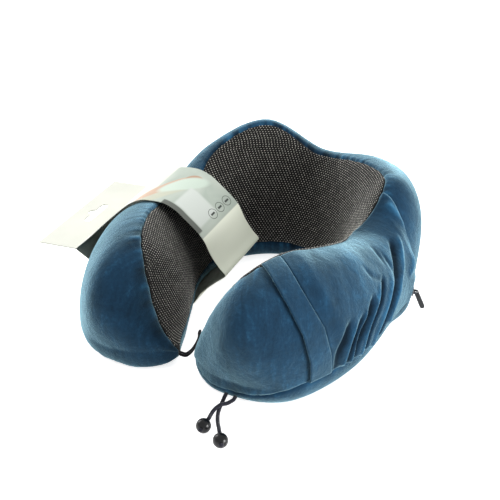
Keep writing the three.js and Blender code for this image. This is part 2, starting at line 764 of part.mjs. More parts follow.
function cardSheet() {
  const flat = cardPlaces();
  const normals = flat.map((point, i) => {
    const before = flat[Math.max(i - 1, 0)];
    const after = flat[Math.min(i + 1, flat.length - 1)];
    const first = point.clone().sub(before).normalize();
    const second = after.clone().sub(point).normalize();
    const along = first.add(second).normalize();
    return new THREE.Vector2(-along.y, along.x);
  });
  const rows = (side) => flat.map((point, i) => {
    const half = bandHalfWidth + (headerHalfWidth - bandHalfWidth) * cardRouteShares[i][2];
    const place = point.clone().addScaledVector(normals[i], side * cardThickness / 2);
    return [-half, half].map((y) => new THREE.Vector3(place.x, y, place.y));
  });
  return sheetGeometry(rows(-1), rows(1));
}

// Hanging slot through both layers of the header
const cutterReachShare = 10;
function slotCutter() {
  const [edge, fold] = cardPlaces();
  const middle = (edge.x + fold.x) / 2;
  const half = slotLength / 2;
  const round = slotWidth / 2;
  const shape = new THREE.Shape();
  shape.moveTo(-round, half - round);
  shape.absarc(0, half - round, round, Math.PI, 0, true);
  shape.lineTo(round, -(half - round));
  shape.absarc(0, -(half - round), round, 0, -Math.PI, true);
  shape.lineTo(-round, -slotBump);
  shape.absarc(-round, 0, slotBump, -Math.PI / 2, Math.PI / 2, true);
  const height = round * cutterReachShare;
  const geometry = new THREE.ExtrudeGeometry(shape, { depth: height, bevelEnabled: false, curveSegments });
  return toManifold(geometry.translate(middle, 0, edge.y - height / 2));
}

function cardSleeve() {
  const solid = toManifold(cardSheet()).subtract(slotCutter());
  const mesh = new THREE.Mesh(fromManifold(solid), material(0xe9e6da, 0.6));
  mesh.position.set(-cardCentre.radius, cardCentre.along, 0);
  mesh.rotation.z = cardTwist * degree;
  return mesh;
}

// The assembly
const pillow = new THREE.Group();
const ring = new THREE.Group();
ring.position.y = -originRadius;
pillow.add(ring);

function put(name, mesh, parent = ring) {
  mesh.name = name;
  parent.add(mesh);
}

put('foam_core', foamCore());
put('cover_side_panel', coverPanel());
put('neck_mesh_panel', meshPanel());
put('cover_base_panel', basePanel());
put('side_pocket', pocketPanel());
put('pocket_hem', pocketHem());
put('zip_tape_upper', zipTape(1));
put('zip_tape_lower', zipTape(-1));
put('zip_coil_upper', zipCoil(1));
put('zip_coil_lower', zipCoil(-1));
put('zip_stop_right', zipStop(zipStartTurn));
put('zip_stop_left', zipStop(zipEndTurn));

const slider = new THREE.Group();
slider.rotation.z = -sliderTurn * degree;
slider.position.z = zipHeight;
ring.add(slider);
put('zip_slider', sliderBody(), slider);
const pull = zipPull();
pull.position.y = barCentre;
pull.rotation.x = pullLean * degree;
put('zip_pull', pull, slider);

put('loop_cord', loopCord());
beadCordRoutes.forEach((route, i) => {
  const [bead, knot] = beadOn(route);
  put(`bead_cord_${i + 1}`, beadCord(route));
  put(`bead_${i + 1}`, bead);
  put(`bead_knot_${i + 1}`, knot);
});
put('card_sleeve', cardSleeve());

export default pillow;
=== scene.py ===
import math

import bmesh
import bpy
import numpy as np
from mathutils import Matrix, Vector


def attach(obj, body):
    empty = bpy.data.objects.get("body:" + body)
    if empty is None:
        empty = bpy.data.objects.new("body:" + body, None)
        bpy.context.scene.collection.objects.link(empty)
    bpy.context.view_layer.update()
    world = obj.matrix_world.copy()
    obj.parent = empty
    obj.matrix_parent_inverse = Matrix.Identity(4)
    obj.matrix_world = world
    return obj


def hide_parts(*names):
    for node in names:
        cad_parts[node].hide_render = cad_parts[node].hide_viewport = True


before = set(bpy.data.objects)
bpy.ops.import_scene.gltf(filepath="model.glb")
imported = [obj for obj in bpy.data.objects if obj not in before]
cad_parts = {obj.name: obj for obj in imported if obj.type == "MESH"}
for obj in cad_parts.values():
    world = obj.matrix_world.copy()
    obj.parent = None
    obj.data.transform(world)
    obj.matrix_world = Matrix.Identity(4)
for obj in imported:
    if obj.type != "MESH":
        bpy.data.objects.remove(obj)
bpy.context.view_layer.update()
mm = 0.001


def tone(*screen):
    # a screen colour 0-255 as the linear colour that a shader takes
    levels = [c / 255 for c in screen]
    return tuple(c / 12.92 if c <= 0.04045 else ((c + 0.055) / 1.055) ** 2.4 for c in levels) + (1.0,)


def newObject(name, data):
    made = bpy.data.objects.new(name, data)
    bpy.context.scene.collection.objects.link(made)
    return made


# camera
cameraSetup = {"azimuth": 30.47, "elevation": 29.71, "distance": 0.9193, "lens": 74.98,
               "target": (-0.0141, -0.1034, 0.045), "roll": 0.6}


def placeCamera(c):
    a, e = math.radians(c["azimuth"]), math.radians(c["elevation"])
    back = Vector((math.sin(a) * math.cos(e), -math.cos(a) * math.cos(e), math.sin(e)))
    data = bpy.data.cameras.new("photoCamera")
    data.lens, data.sensor_width = c["lens"], 36
    data.clip_start, data.clip_end = 0.01, 20
    camera = newObject("photoCamera", data)
    camera.location = Vector(c["target"]) + back * c["distance"]
    camera.rotation_mode = "QUATERNION"
    level = (-back).to_track_quat("-Z", "Y").to_matrix()
    camera.rotation_quaternion = (level @ Matrix.Rotation(-math.radians(c["roll"]), 3, "Z")).to_quaternion()
    bpy.context.scene.camera = camera


placeCamera(cameraSetup)
print("camera placed")


# nodes
def join(tree, value, socket):
    # a node or a socket is linked, anything else is set
    if isinstance(value, bpy.types.Node):
        value = value.outputs[0]
    if isinstance(value, bpy.types.NodeSocket):
        tree.links.new(value, socket)
    else:
        socket.default_value = value


def addNode(tree, kind, inputs=None, **settings):
    node = tree.nodes.new(kind)
    for key, value in settings.items():
        setattr(node, key, value)
    for key, value in (inputs or {}).items():
        join(tree, value, node.inputs[key])
    return node


class Nodes:
    # the nodes of a material or a world, added and linked by short calls
    def __init__(self, owner):
        owner.use_nodes = True
        self.tree = owner.node_tree
        self.tree.nodes.clear()

    def add(self, kind, inputs=None, **settings):
        return addNode(self.tree, "ShaderNode" + kind, inputs, **settings)

    def place(self, kind="Object", scale=(1, 1, 1), turn=(0, 0, 0)):
        source = self.add("TexCoord").outputs[kind]
        return self.add("Mapping", {"Vector": source, "Scale": scale, "Rotation": turn})

    def noise(self, where, scale, detail=3.0, rough=0.55, distort=0.0):
        return self.add("TexNoise", {"Vector": where, "Scale": scale, "Detail": detail, "Roughness": rough,
                                     "Distortion": distort}).outputs["Fac"]

    def wave(self, where, scale, distort=0.0, detail=2.0, bands="X"):
        return self.add("TexWave", {"Vector": where, "Scale": scale, "Distortion": distort, "Detail": detail},
                        bands_direction=bands).outputs["Fac"]

    def ramp(self, value, *stops):
        node = self.add("ValToRGB", {"Fac": value})
        elements = node.color_ramp.elements
        while len(elements) < len(stops):
            elements.new(0.5)
        for element, (at, colour) in zip(elements, stops):
            element.position, element.color = at, colour
        return node.outputs["Color"]

    def scaled(self, value, low, high, toLow=0.0, toHigh=1.0):
        return self.add("MapRange", {"Value": value, "From Min": low, "From Max": high, "To Min": toLow,
                                     "To Max": toHigh}).outputs[0]

    def math(self, operation, *values):
        # two values at a time, from the first on
        result = values[0]
        for value in values[1:]:
            result = self.add("Math", {0: result, 1: value}, operation=operation).outputs[0]
        return result

    def plus(self, *values):
        return self.math("ADD", *values)

    def minus(self, *values):
        return self.math("SUBTRACT", *values)

    def times(self, *values):
        return self.math("MULTIPLY", *values)

    def mix(self, share, first, second):
        return self.add("Mix", {0: share, 6: first, 7: second}, data_type="RGBA").outputs[2]

    def bump(self, height, strength, distance, under=None):
        given = {"Height": height, "Strength": strength, "Distance": distance}
        if under is not None:
            given["Normal"] = under
        return self.add("Bump", given).outputs[0]

    def seen(self):
        # 1 for the rays that show a surface, 0 for those that carry its light
        rays = self.add("LightPath").outputs
        kinds = ("Camera", "Glossy", "Transmission")
        return self.math("MAXIMUM", *(rays[f"Is {kind} Ray"] for kind in kinds))


class Finish(Nodes):
    # a material with one shader
    def __init__(self, name):
        self.material = bpy.data.materials.new(name)
        super().__init__(self.material)
        self.shader = self.add("BsdfPrincipled")
        self.add("OutputMaterial", {"Surface": self.shader})

    def surface(self, **inputs):
        for key, value in inputs.items():
            join(self.tree, value, self.shader.inputs[key.replace("_", " ")])
        return self.material


# velour
velour = {
    "deep": tone(10, 25, 39), "plain": tone(20, 48, 71), "brushed": tone(46, 99, 134),
    "stops": (0.17, 0.34, 0.58),  # the shades at which those three lie
    # how much each pattern adds to the shade; the fold one is painted shade in the valleys of folds and
    # puckers and a paler tone on their ridges, partly rubbed pile
    "patches": 0.28, "strokes": 0.2, "pile": 0.16, "foldShadeAndRub": 0.22,
    # the patterns' scales, and scale and turn of those that follow the cloth
    "patchScale": 26, "pileScale": 420, "fibreScale": 1500, "softScale": 95,
    "strokeWay": ((150, 42, 1), (0, 0, 0.35)), "lieWay": ((420, 130, 1), (0, 0, 0.3)),
    # strength and distance of the two bumps
    "fibreBump": (0.5, 0.0006), "softBump": (0.35, 0.0022),
    # the sheen's weight from one shade to another
    "sheen": (0.17, 0.43, 0.75, 1.0), "sheenTint": (0.52, 0.87, 1.0, 1.0), "sheenRough": 0.42,
}


def velourFinish(v):
    f = Finish("velourCloth")
    where = f.place()
    patches = f.noise(where, v["patchScale"], 4, 0.6, 0.9)
    strokes = f.noise(f.place("UV", *v["strokeWay"]), 1, 4, 0.62, 0.9)
    pile = f.noise(where, v["pileScale"], 3, 0.65)
    # painted shade in the valleys of folds and puckers and a paler tone on their ridges, partly rubbed pile
    shadeAndRubbed = f.add("Attribute", attribute_name="foldShadeAndRub").outputs["Fac"]
    shade = f.plus(f.times(patches, v["patches"]), f.times(strokes, v["strokes"]), f.times(pile, v["pile"]),
                   f.times(shadeAndRubbed, v["foldShadeAndRub"]))
    colour = f.ramp(shade, *zip(v["stops"], (v["deep"], v["plain"], v["brushed"])))
    fibre = f.noise(where, v["fibreScale"], 3, 0.7)
    lie = f.noise(f.place("UV", *v["lieWay"]), 1, 2, 0.5, 0.8)
    soft = f.bump(f.noise(where, v["softScale"], 3, 0.55, 0.5), *v["softBump"])
    nap = f.bump(f.plus(fibre, f.times(lie, 0.7)), *v["fibreBump"], soft)
    return f.surface(
        Base_Color=colour, Roughness=0.95, Normal=nap, Sheen_Weight=f.scaled(shade, *v["sheen"]),
        Sheen_Roughness=v["sheenRough"], Sheen_Tint=v["sheenTint"], Specular_IOR_Level=0.05)


velourCloth = velourFinish(velour)
print("velour made")


# the pillow's form, in millimetres: the same sections as the solids
form = {
    "neckRadius": 60, "neckSeamHeight": 17, "topSeamRadius": 98, "crestHeight": 118, "flankRadius": 139,
    "zipRadius": 127.5, "zipHeight": 20, "armStretch": 1.44, "tipRadius": 93, "tipHeight": 14,
    "tipTurn": 175, "noseTurn": 160, "originRadius": 94,
    # where the two arms differ, the left arm's shares come first
    "turns": [0, 30, 60, 78, 90, 115, 135, 150, 163, 175],
    "neck": [1, 1.01, 0.995, 0.976, 0.965, 0.955, 0.967, 1.06, 1.23, 1.48],
    "topSeam": [[1, 1.06, 0.985, 0.862, 0.8, 0.885, 0.94, 0.985, 1.015, 1.008],
                [1, 0.977, 1.013, 0.87, 0.785, 0.872, 0.885, 1.0, 1.05, 1.008]],
    "crest": [[0.835, 1.03, 0.885, 0.741, 0.685, 0.805, 0.845, 0.83, 0.44, 0.235],
              [0.835, 0.912, 0.963, 0.749, 0.685, 0.808, 0.88, 0.855, 0.59, 0.32]],
    "flank": [[0.95, 0.983, 0.973, 0.946, 0.935, 0.985, 0.99, 1.015, 0.835, 0.74],
              [0.95, 1.05, 0.985, 0.9, 0.923, 0.98, 1.002, 0.998, 0.82, 0.767]],
    "zip": [[1, 1, 1, 1, 1, 1.06, 1.118, 1.027, 0.903, 0.785],
            [1, 1, 1, 1, 0.943, 1.031, 1.082, 0.97, 0.867, 0.785]],
    "shoulder": (0.45, 0.08), "belly": (1.44, 0.12, 0.76), "hollow": (-0.36, -0.12, -0.04, 0.44),
    "foot": (0.18, 0.2, 0.06, 0.45), "centre": 0.42,
    # first and last turn, fade and rise of a small relief, the turns and reach of the averaging, and how
    # far in, as a share of the way to the middle, a point may sink
    "relief": (-132, -66, 10, 1.1), "softOver": ([110, 145, 175], [3, 8, 4]), "deepest": 0.8,
}


def shareAt(name, turn):
    # the share at a turn, averaged over a few degrees, more of them towards the tips
    reach = float(np.interp(abs(turn), *form["softOver"]))
    return sum(weight * stationShare(name, turn + offset * reach)
               for offset, weight in ((-1, 0.25), (-0.5, 0.5), (0, 0.5), (0.5, 0.5), (1, 0.25))) / 2


def stationShare(name, turn):
    places, shares = form["turns"], form[name]
    if isinstance(shares[0], list):
        shares = shares[0 if turn < 0 else 1]
    last = len(places) - 1
    turn = min(abs(turn), places[last])
    k = 0
    while k < last - 1 and turn > places[k + 1]:
        k += 1

    def rise(i):
        return (shares[i + 1] - shares[i]) / (places[i + 1] - places[i])

    def slope(i):
        if i == 0:
            return 0
        if i == last:
            return rise(last - 1)
        before, after = rise(i - 1), rise(i)
        return 0 if before * after <= 0 else 2 * before * after / (before + after)

    span = places[k + 1] - places[k]
    t = (turn - places[k]) / span
    return (shares[k] * (1 + 2 * t) * (1 - t) ** 2 + slope(k) * span * t * (1 - t) ** 2
            + shares[k + 1] * t * t * (3 - 2 * t) - slope(k + 1) * span * t * t * (1 - t))


def unit(way):
    return way / np.linalg.norm(way, axis=-1, keepdims=True)


def eased(t):
    return t * t * (3 - 2 * t)


def runAlong(line):
    # the length along a line up to each of its points
    return np.concatenate([[0], np.cumsum(np.linalg.norm(np.diff(line, axis=0), axis=1))])


def bezier(a, b, c, d, count=90):
    t = np.linspace(0, 1, count)[:, None]
    a, b, c, d = (np.array(p, float) for p in (a, b, c, d))
    return a * (1 - t) ** 3 + 3 * b * t * (1 - t) ** 2 + 3 * c * t * t * (1 - t) + d * t ** 3


sections = {}


def sectionAt(turn):
    # the curves of one cross section with the length along each, and its middle
    key = round(float(turn), 4)
    if key in sections:
        return sections[key]
    seam = (form["topSeamRadius"] * shareAt("topSeam", key), form["crestHeight"] * shareAt("crest", key))
    low = (form["zipRadius"] * shareAt("zip", key), form["zipHeight"])
    neck = (form["neckRadius"] * shareAt("neck", key), form["neckSeamHeight"])
    flank = form["flankRadius"] * shareAt("flank", key)
    width, height = flank - seam[0], seam[1] - low[1]
    inner, foot = seam[0] - neck[0], low[0] - neck[0]
    shoulder, belly, hollow, feet = form["shoulder"], form["belly"], form["hollow"], form["foot"]
    side = bezier(seam, (seam[0] + shoulder[0] * width, seam[1] + shoulder[1] * height),
                  (low[0] + belly[0] * (flank - low[0]) + belly[1] * width, low[1] + belly[2] * height), low)
    lining = bezier(neck, (neck[0] + hollow[2] * width, neck[1] + hollow[3] * height),
                    (seam[0] + hollow[0] * inner, seam[1] + hollow[1] * height), seam)
    heel, toe = (low[0] - feet[0] * foot, 0), (neck[0] + feet[1] * foot, 0)
    base = np.vstack([
        bezier(low, (low[0], low[1] * feet[3]), (low[0] - feet[2] * foot, 0), heel, 40),
        np.linspace(heel, toe, 40)[1:-1],
        bezier(toe, (neck[0] + feet[2] * foot, 0), (neck[0], neck[1] * feet[3]), neck, 40)])
    curves = {"side": side, "lining": lining, "skirt": np.vstack([side, base[1:]]),
              "crown": np.vstack([lining, side[1:]])}
    made = {name: (line, runAlong(line)) for name, line in curves.items()}
    made["centre"] = np.array(((neck[0] + flank) / 2, seam[1] * form["centre"]))
    sections[key] = made
    return made


def skinRow(turn, curve, along, depth):
    # points of one section at distances along a curve, at depths below the skin (both in mm)
    section = sectionAt(turn)
    line, lengths = section[curve]
    flat = np.stack([np.interp(along, lengths, line[:, k]) for k in (0, 1)], axis=1)
    inward = section["centre"] - flat
    flat += inward * np.minimum(depth / np.linalg.norm(inward, axis=1), form["deepest"])[:, None]
    past = (abs(turn) - form["noseTurn"]) / (form["tipTurn"] - form["noseTurn"])
    opened = 1 if past <= 0 else math.sqrt(max(0, 1 - past * past))
    radius = form["tipRadius"] + (flat[:, 0] - form["tipRadius"]) * opened
    height = form["tipHeight"] + (flat[:, 1] - form["tipHeight"]) * opened
    fromTurn, toTurn, fade, rise = form["relief"]
    outside = max(fromTurn - turn, turn - toTurn, 0)
    height = height + rise * max(0, 1 - outside / fade) * np.maximum(0, 1 - height / form["zipHeight"])
    angle = math.radians(turn)
    stretch = form["armStretch"] if math.cos(angle) < 0 else 1
    return np.stack([radius * math.sin(angle), radius * math.cos(angle) * stretch - form["originRadius"],
                     height], axis=1)


def lengthAt(turn, curve):
    return sectionAt(turn)[curve][1][-1]


def openedAt(turn):
    # 1 along the zip, falling to 0 past its two ends
    past = max(turn - zipLook["to"], zipLook["from"] - turn) - zipLook["margin"]
    return 1 - min(1, max(0, past / zipLook["taper"]))


def topDrop(turn):
    return np.interp(turn, *cover["crestDrop"])


def clothSpan(turn, cloth):
    # where a cloth starts and ends on its curve, in mm, and how deep its edges roll in
    c, over = cover, topDrop(turn)
    if cloth == "lining":
        return 0, lengthAt(turn, "lining") + over, c["rollDepth"], c["rollDepth"]
    opened = openedAt(turn)
    low = lengthAt(turn, "side") + np.interp(turn, *c["seamDrop"])
    roll = c["rollDepth"] + (c["zipRoll"] - c["rollDepth"]) * opened
    if cloth == "side":
        return over, low - c["zipCut"] * opened, c["rollDepth"], roll
    return low + c["zipCut"] * opened, lengthAt(turn, "skirt"), roll, c["rollDepth"]


def bodyTurns(step, noseCount):
    # turns from tip to tip, close together where the rounded tips close
    main = list(np.arange(-form["noseTurn"], form["noseTurn"] + step / 2, step))
    span = form["tipTurn"] - form["noseTurn"]
    nose = [form["noseTurn"] + span * math.sin(math.pi / 2 * k / noseCount) for k in range(1, noseCount + 1)]
    return [-t for t in reversed(nose)] + main + nose


def gridNormals(points):
    across, down = (np.gradient(points, axis=k) for k in (0, 1))
    normal = np.cross(across, down)
    size = np.linalg.norm(normal, axis=2, keepdims=True)
    normal = normal / np.maximum(size, 1e-12)
    # rows that close to a point take the next row's
    for i in np.flatnonzero((size[..., 0] < 1e-9).any(axis=1)):
        normal[i] = normal[min(max(i, 1), len(points) - 2)]
    return normal


# smooth noise in the script, from a fixed table
noiseTable = np.random.default_rng(20).random((256, 256))


def softNoise(u, v, layer=0):
    u, v = np.asarray(u, float) + 37.3 * layer, np.asarray(v, float) + 17.9 * layer
    iu, iv = np.floor(u).astype(int), np.floor(v).astype(int)
    fu, fv = eased(u - iu), eased(v - iv)

    def at(a, b):
        return noiseTable[(iu + a) % 256, (iv + b) % 256]

    return (at(0, 0) * (1 - fu) * (1 - fv) + at(1, 0) * fu * (1 - fv)
            + at(0, 1) * (1 - fu) * fv + at(1, 1) * fu * fv) * 2 - 1


def softRelief(a, d, height, along, down, layer):
    # soft noise of a height, with its sizes along and down a cloth, all in mm
    return height * softNoise(a / along, d / down, layer)


# meshes
def merged(work):
    bmesh.ops.remove_doubles(work, verts=work.verts, dist=0.00001)


def cleaned(work):
    bmesh.ops.dissolve_degenerate(work, edges=work.edges, dist=0.000001)


def flattened(work):
    bmesh.ops.dissolve_limit(work, angle_limit=0.02, verts=work.verts, edges=work.edges)


def capped(work):
    bmesh.ops.holes_fill(work, edges=work.edges, sides=4)


def facedOut(work):
    bmesh.ops.recalc_face_normals(work, faces=work.faces)


def reworked(mesh, *steps):
    work = bmesh.new()
    work.from_mesh(mesh)
    for step in steps:
        step(work)
    work.to_mesh(mesh)
    work.free()


def gridObject(name, grid, material, *steps, smooth=True):
    # quads over a grid: its points in mm, its map and, for velour, the painted shade in the valleys of folds
    # and puckers with paler ridges, partly rubbed pile
    points, uv, *foldShadeAndRub = grid
    n, m = points.shape[:2]
    index = np.arange(n * m).reshape(n, m)
    quads = np.stack([index[:-1, :-1], index[1:, :-1], index[1:, 1:], index[:-1, 1:]], axis=-1).reshape(-1, 4)
    mesh = bpy.data.meshes.new(name)
    mesh.from_pydata((points.reshape(-1, 3) * mm).tolist(), [], quads.tolist())
    layer = mesh.uv_layers.new(name="UVMap")
    layer.data.foreach_set("uv", (uv.reshape(-1, 2)[quads.reshape(-1)] * mm).ravel())
    for values in foldShadeAndRub:
        mesh.attributes.new("foldShadeAndRub", "FLOAT", "POINT").data.foreach_set("value", values.ravel())
    reworked(mesh, merged, cleaned, *steps)
    mesh.polygons.foreach_set("use_smooth", [smooth] * len(mesh.polygons))
    mesh.materials.append(material)
    return newObject(name, mesh)


# the cloths of the cover
zipLook = {"tapeInner": 125.5, "tapeOuter": 126.1, "from": -72, "to": 77, "margin": 1.5,
           "taper": 7, "tapeFrom": 0.6, "tapeTo": 3.6, "tapeSteps": 240, "mapRadius": 126,
           # the teeth stop a little before the two ends, in degrees
           "toothPitch": 1.55, "toothRadius": 126.85, "toothAcross": 1.15, "toothLean": 0.16,
           "toothEnds": (0.4, 0.3), "size": (0.5, 0.95, 0.62), "variation": 0.0, "seed": 1}
cover = {"turnStep": 0.55, "noseCount": 22, "rowStep": 1.6, "edgeRows": [0, 0.25, 0.6, 1.1, 1.8, 2.8, 4.2, 6],
         "rollDepth": 2.6, "rollWidth": 2.8, "turnIn": 5, "zipCut": 2.4, "zipRoll": 1.3,
         # turns, and how far the low seam runs below the solids' own seam there (mm)
         "seamDrop": ([-150, -112, 132, 138, 144, 152, 162], [22, 0, 0, 3, 7.5, 11, 12]),
         # turns, and how far the mesh reaches over the crest before its seam (mm)
         "crestDrop": ([88, 102, 146, 158], [0, 4, 4, 1]),
         # turns, and how far the base swells out just below its seam (mm)
         "baseSwell": ([80, 98, 120, 142], [0, 1.6, 1.2, 0]),
         "baseSwellFrom": 0.8, "baseSwellWide": 24,
         "puckerRise": 0.75, "puckerPitch": 5.4, "puckerReach": 7, "swell": 0.5,
         # sizes of the soft noise along the U and down the cloth (mm)
         "swellNoise": (34, 30), "driftNoise": (11, 7), "drift": 1.6, "puckerDown": (26, 16),
         "unevenNoise": 42,
         # turns past the nose over which the noise dies away
         "noseFade": 15}


def clothGrid(cloth, c, pucker=1.0, edgeGap=0.0):
    # one cloth of the cover from seam to seam, its edges rolled down and turned in under the seams
    turns = bodyTurns(c["turnStep"], c["noseCount"])
    curve = "crown" if cloth == "lining" else "skirt"
    edge = np.array(c["edgeRows"], float)
    spans = [clothSpan(t, cloth) for t in turns]
    longest = max(end - start for start, end, _, _ in spans)
    middle = np.linspace(0, 1, int((longest - 2 * edge[-1]) / c["rowStep"]))[1:-1]
    grids, downs = [], []
    for turn, (start, end, startRoll, endRoll) in zip(turns, spans):
        length = end - start
        shrink = min(1, length / 3 / edge[-1])
        down = np.concatenate([edge * shrink, edge[-1] * shrink + (length - 2 * edge[-1] * shrink) * middle,
                               length - edge[::-1] * shrink])
        share = np.clip(1 - np.minimum(down, length - down) / c["rollWidth"], 0, 1)
        roll = np.where(down < length / 2, startRoll, endRoll)
        depth = roll * (1 - np.sqrt(1 - share ** 2)) + edgeGap
        down = np.concatenate([[0], down, [length]])
        depth = np.concatenate([[c["turnIn"]], depth, [c["turnIn"]]])
        grids.append(skinRow(turn, curve, start + down, depth))
        downs.append(down)
    points, down = np.array(grids), np.array(downs)
    a = runAlong(points[:, points.shape[1] // 2])[:, None] + 0 * down
    coarse, fine = c["puckerDown"]
    lift = softRelief(a, down, c["swell"], *c["swellNoise"], 1)
    foldShadeAndRub = 0 * lift
    for near, layer, strength in ((down, 2, 1.0), (down[:, -1:] - down, 5, 0.9)):
        fade = np.exp(-(near / c["puckerReach"]) ** 1.2)
        drift = a + softRelief(a, near, c["drift"], *c["driftNoise"], layer + 1)
        drift = drift / c["puckerPitch"]
        wave = softNoise(drift, near / coarse, layer) + 0.5 * softNoise(drift * 1.9, near / fine, layer + 2)
        uneven = 0.65 + 0.5 * softNoise(a / c["unevenNoise"], 0 * near, layer + 3)
        wave = strength * wave * fade * uneven
        lift = lift + pucker * c["puckerRise"] * wave
        # the puckers also paint shade into their hollows and a paler tone on their crests
        foldShadeAndRub = foldShadeAndRub + 1.1 * wave
    if cloth == "base":
        # the strip below the right arm's pocket stands out past its seam
        out = np.interp(turns, *c["baseSwell"])[:, None]
        wide = np.clip((down - c["baseSwellFrom"]) / c["baseSwellWide"], 0, 1)
        lift = lift + out * np.sin(np.pi * wide) ** 0.8
    nose = np.array([max(0, (abs(t) - form["noseTurn"]) / c["noseFade"]) for t in turns])[:, None]
    lift = lift * (1 - 0.7 * nose ** 2)
    lift[:, 0], lift[:, -1] = lift[:, 1], lift[:, -2]
    return points + gridNormals(points) * lift[..., None], np.stack([a, down], axis=-1), foldShadeAndRub


coverPanel = gridObject("velour_cover", clothGrid("side", cover), velourCloth)
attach(coverPanel, "pillow")
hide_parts("cover_side_panel", "foam_core")
print("velour cover made", len(coverPanel.data.polygons))

baseGrid = clothGrid("base", cover | {"turnStep": 1.2, "rowStep": 2.4, "swell": 0.25}, 0.6)
baseGrid[0][..., 2] = np.maximum(baseGrid[0][..., 2], 0.05)
baseCloth = gridObject("base_cloth", baseGrid, velourCloth)
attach(baseCloth, "pillow")
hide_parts("cover_base_panel")
print("base cloth made")


# the spacer mesh on the neck side, with its knitted dots
meshLook = {
    "black": tone(5, 5, 5), "thread": tone(22, 22, 21),
    "dot": tone(208, 206, 196), "dotShade": tone(156, 155, 146),
    "dotPitch": 2.75, "rowPitch": 2.02, "size": (0.68, 0.48, 0.6), "variation": 0.25, "seed": 4,
    # the first row's offset, the bare edges above and below, the bare ends, and how deep a dot sits (mm)
    "firstRow": 0.6, "bareTop": 1.6, "bareFoot": 1.2, "bareEnds": 6, "sunk": 0.08,
}


def meshFinish(m):
    f = Finish("spacerMesh")
    where = f.place("UV", (1 / (m["dotPitch"] * mm), 1 / (m["rowPitch"] * mm), 1))
    cells = f.add("TexVoronoi", {"Vector": where, "Scale": 1.6, "Randomness": 0.25}).outputs["Distance"]
    threads = f.noise(f.place("UV", (900, 900, 1)), 1, 3, 0.6)
    shade = f.plus(f.scaled(cells, 0.1, 0.7), f.times(threads, 0.5))
    return f.surface(
        Base_Color=f.ramp(shade, (0.25, m["thread"]), (0.8, m["black"])), Roughness=0.82,
        Normal=f.bump(f.minus(1, cells), 0.6, 0.0007), Sheen_Weight=0.12, Sheen_Roughness=0.5,
        Specular_IOR_Level=0.2)


def dotFinish(m):
    f = Finish("knitDots")
    colour = f.ramp(f.noise(f.place(), 140, 2), (0.3, m["dotShade"]), (0.7, m["dot"]))
    return f.surface(Base_Color=colour, Roughness=0.7, Specular_IOR_Level=0.25,
                     Normal=f.bump(f.noise(f.place(), 2600, 2), 0.4, 0.0002))


meshSteps = {"turnStep": 0.9, "rowStep": 1.8, "swell": 0.6, "puckerRise": 0.55}
meshGrid = clothGrid("lining", cover | meshSteps, 1.0, 0.2)[:2]
meshCloth = gridObject("neck_mesh", meshGrid, meshFinish(meshLook))
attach(meshCloth, "pillow")
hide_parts("neck_mesh_panel")


# shapes for repeats: the inputs and settings of their node
repeatShapes = {
    "IcoSphere": ({"Radius": 1, "Subdivisions": 1}, {}),
    # a six sided dome without a floor
    "Cone": ({"Vertices": 6, "Radius Bottom": 1, "Radius Top": 0, "Depth": 1}, {"fill_type": "NONE"}),
}


def repeatTree(name, shape):
    # one shape on every point, turned by the point's facing and along vectors
    tree = bpy.data.node_groups.new(name, "GeometryNodeTree")
    for label, kind, way in (("Geometry", "Geometry", "INPUT"), ("Size", "Vector", "INPUT"),
                             ("Variation", "Float", "INPUT"), ("Seed", "Int", "INPUT"),
                             ("Finish", "Material", "INPUT"), ("Geometry", "Geometry", "OUTPUT")):
        tree.interface.new_socket(label, in_out=way, socket_type="NodeSocket" + kind)

    def add(kind, inputs=None, **settings):
        return addNode(tree, kind, inputs, **settings)

    given = add("NodeGroupInput").outputs
    inputs, settings = repeatShapes[shape]
    part = add("GeometryNodeMesh" + shape, inputs, **settings)
    sized = add("GeometryNodeTransform", {"Geometry": part, "Scale": given["Size"]})
    smooth = add("GeometryNodeSetShadeSmooth", {"Geometry": sized})
    facing, along = (add("GeometryNodeInputNamedAttribute", {"Name": label}, data_type="FLOAT_VECTOR")
                     .outputs["Attribute"] for label in ("facing", "along"))
    turned = add("FunctionNodeAxesToRotation", {0: facing, 1: along}, primary_axis="Z", secondary_axis="X")
    smallest = add("ShaderNodeMath", {0: 1, 1: given["Variation"]}, operation="SUBTRACT")
    varied = add("FunctionNodeRandomValue", {2: smallest, 3: 1, "Seed": given["Seed"]}, data_type="FLOAT")
    laid = add("GeometryNodeInstanceOnPoints", {"Points": given["Geometry"], "Instance": smooth,
                                                "Rotation": turned, "Scale": varied.outputs[1]})
    real = add("GeometryNodeRealizeInstances", {0: laid})
    painted = add("GeometryNodeSetMaterial", {"Geometry": real, "Material": given["Finish"]})
    add("NodeGroupOutput", {0: painted})
    return tree


def repeated(name, shape, laid, look, material):
    # laid holds places in mm with their facing and along vectors; the nodes' result becomes a plain mesh
    places, facing, along = laid
    mesh = bpy.data.meshes.new(name + "Places")
    mesh.from_pydata((places * mm).tolist(), [], [])
    for label, values in (("facing", facing), ("along", along)):
        mesh.attributes.new(label, "FLOAT_VECTOR", "POINT").data.foreach_set("vector", values.ravel())
    holder = newObject(name + "Places", mesh)
    tree = repeatTree(name + "Tree", shape)
    modifier = holder.modifiers.new("repeat", "NODES")
    modifier.node_group = tree
    ids = {s.name: s.identifier for s in tree.interface.items_tree if s.in_out == "INPUT"}
    for label, value in (("Size", [s * mm for s in look["size"]]), ("Variation", look["variation"]),
                         ("Seed", look["seed"]), ("Finish", material)):
        modifier[ids[label]] = value
    graph = bpy.context.evaluated_depsgraph_get()
    plain = bpy.data.meshes.new_from_object(holder.evaluated_get(graph))
    bpy.data.objects.remove(holder)
    plain.name = name
    return newObject(name, plain)


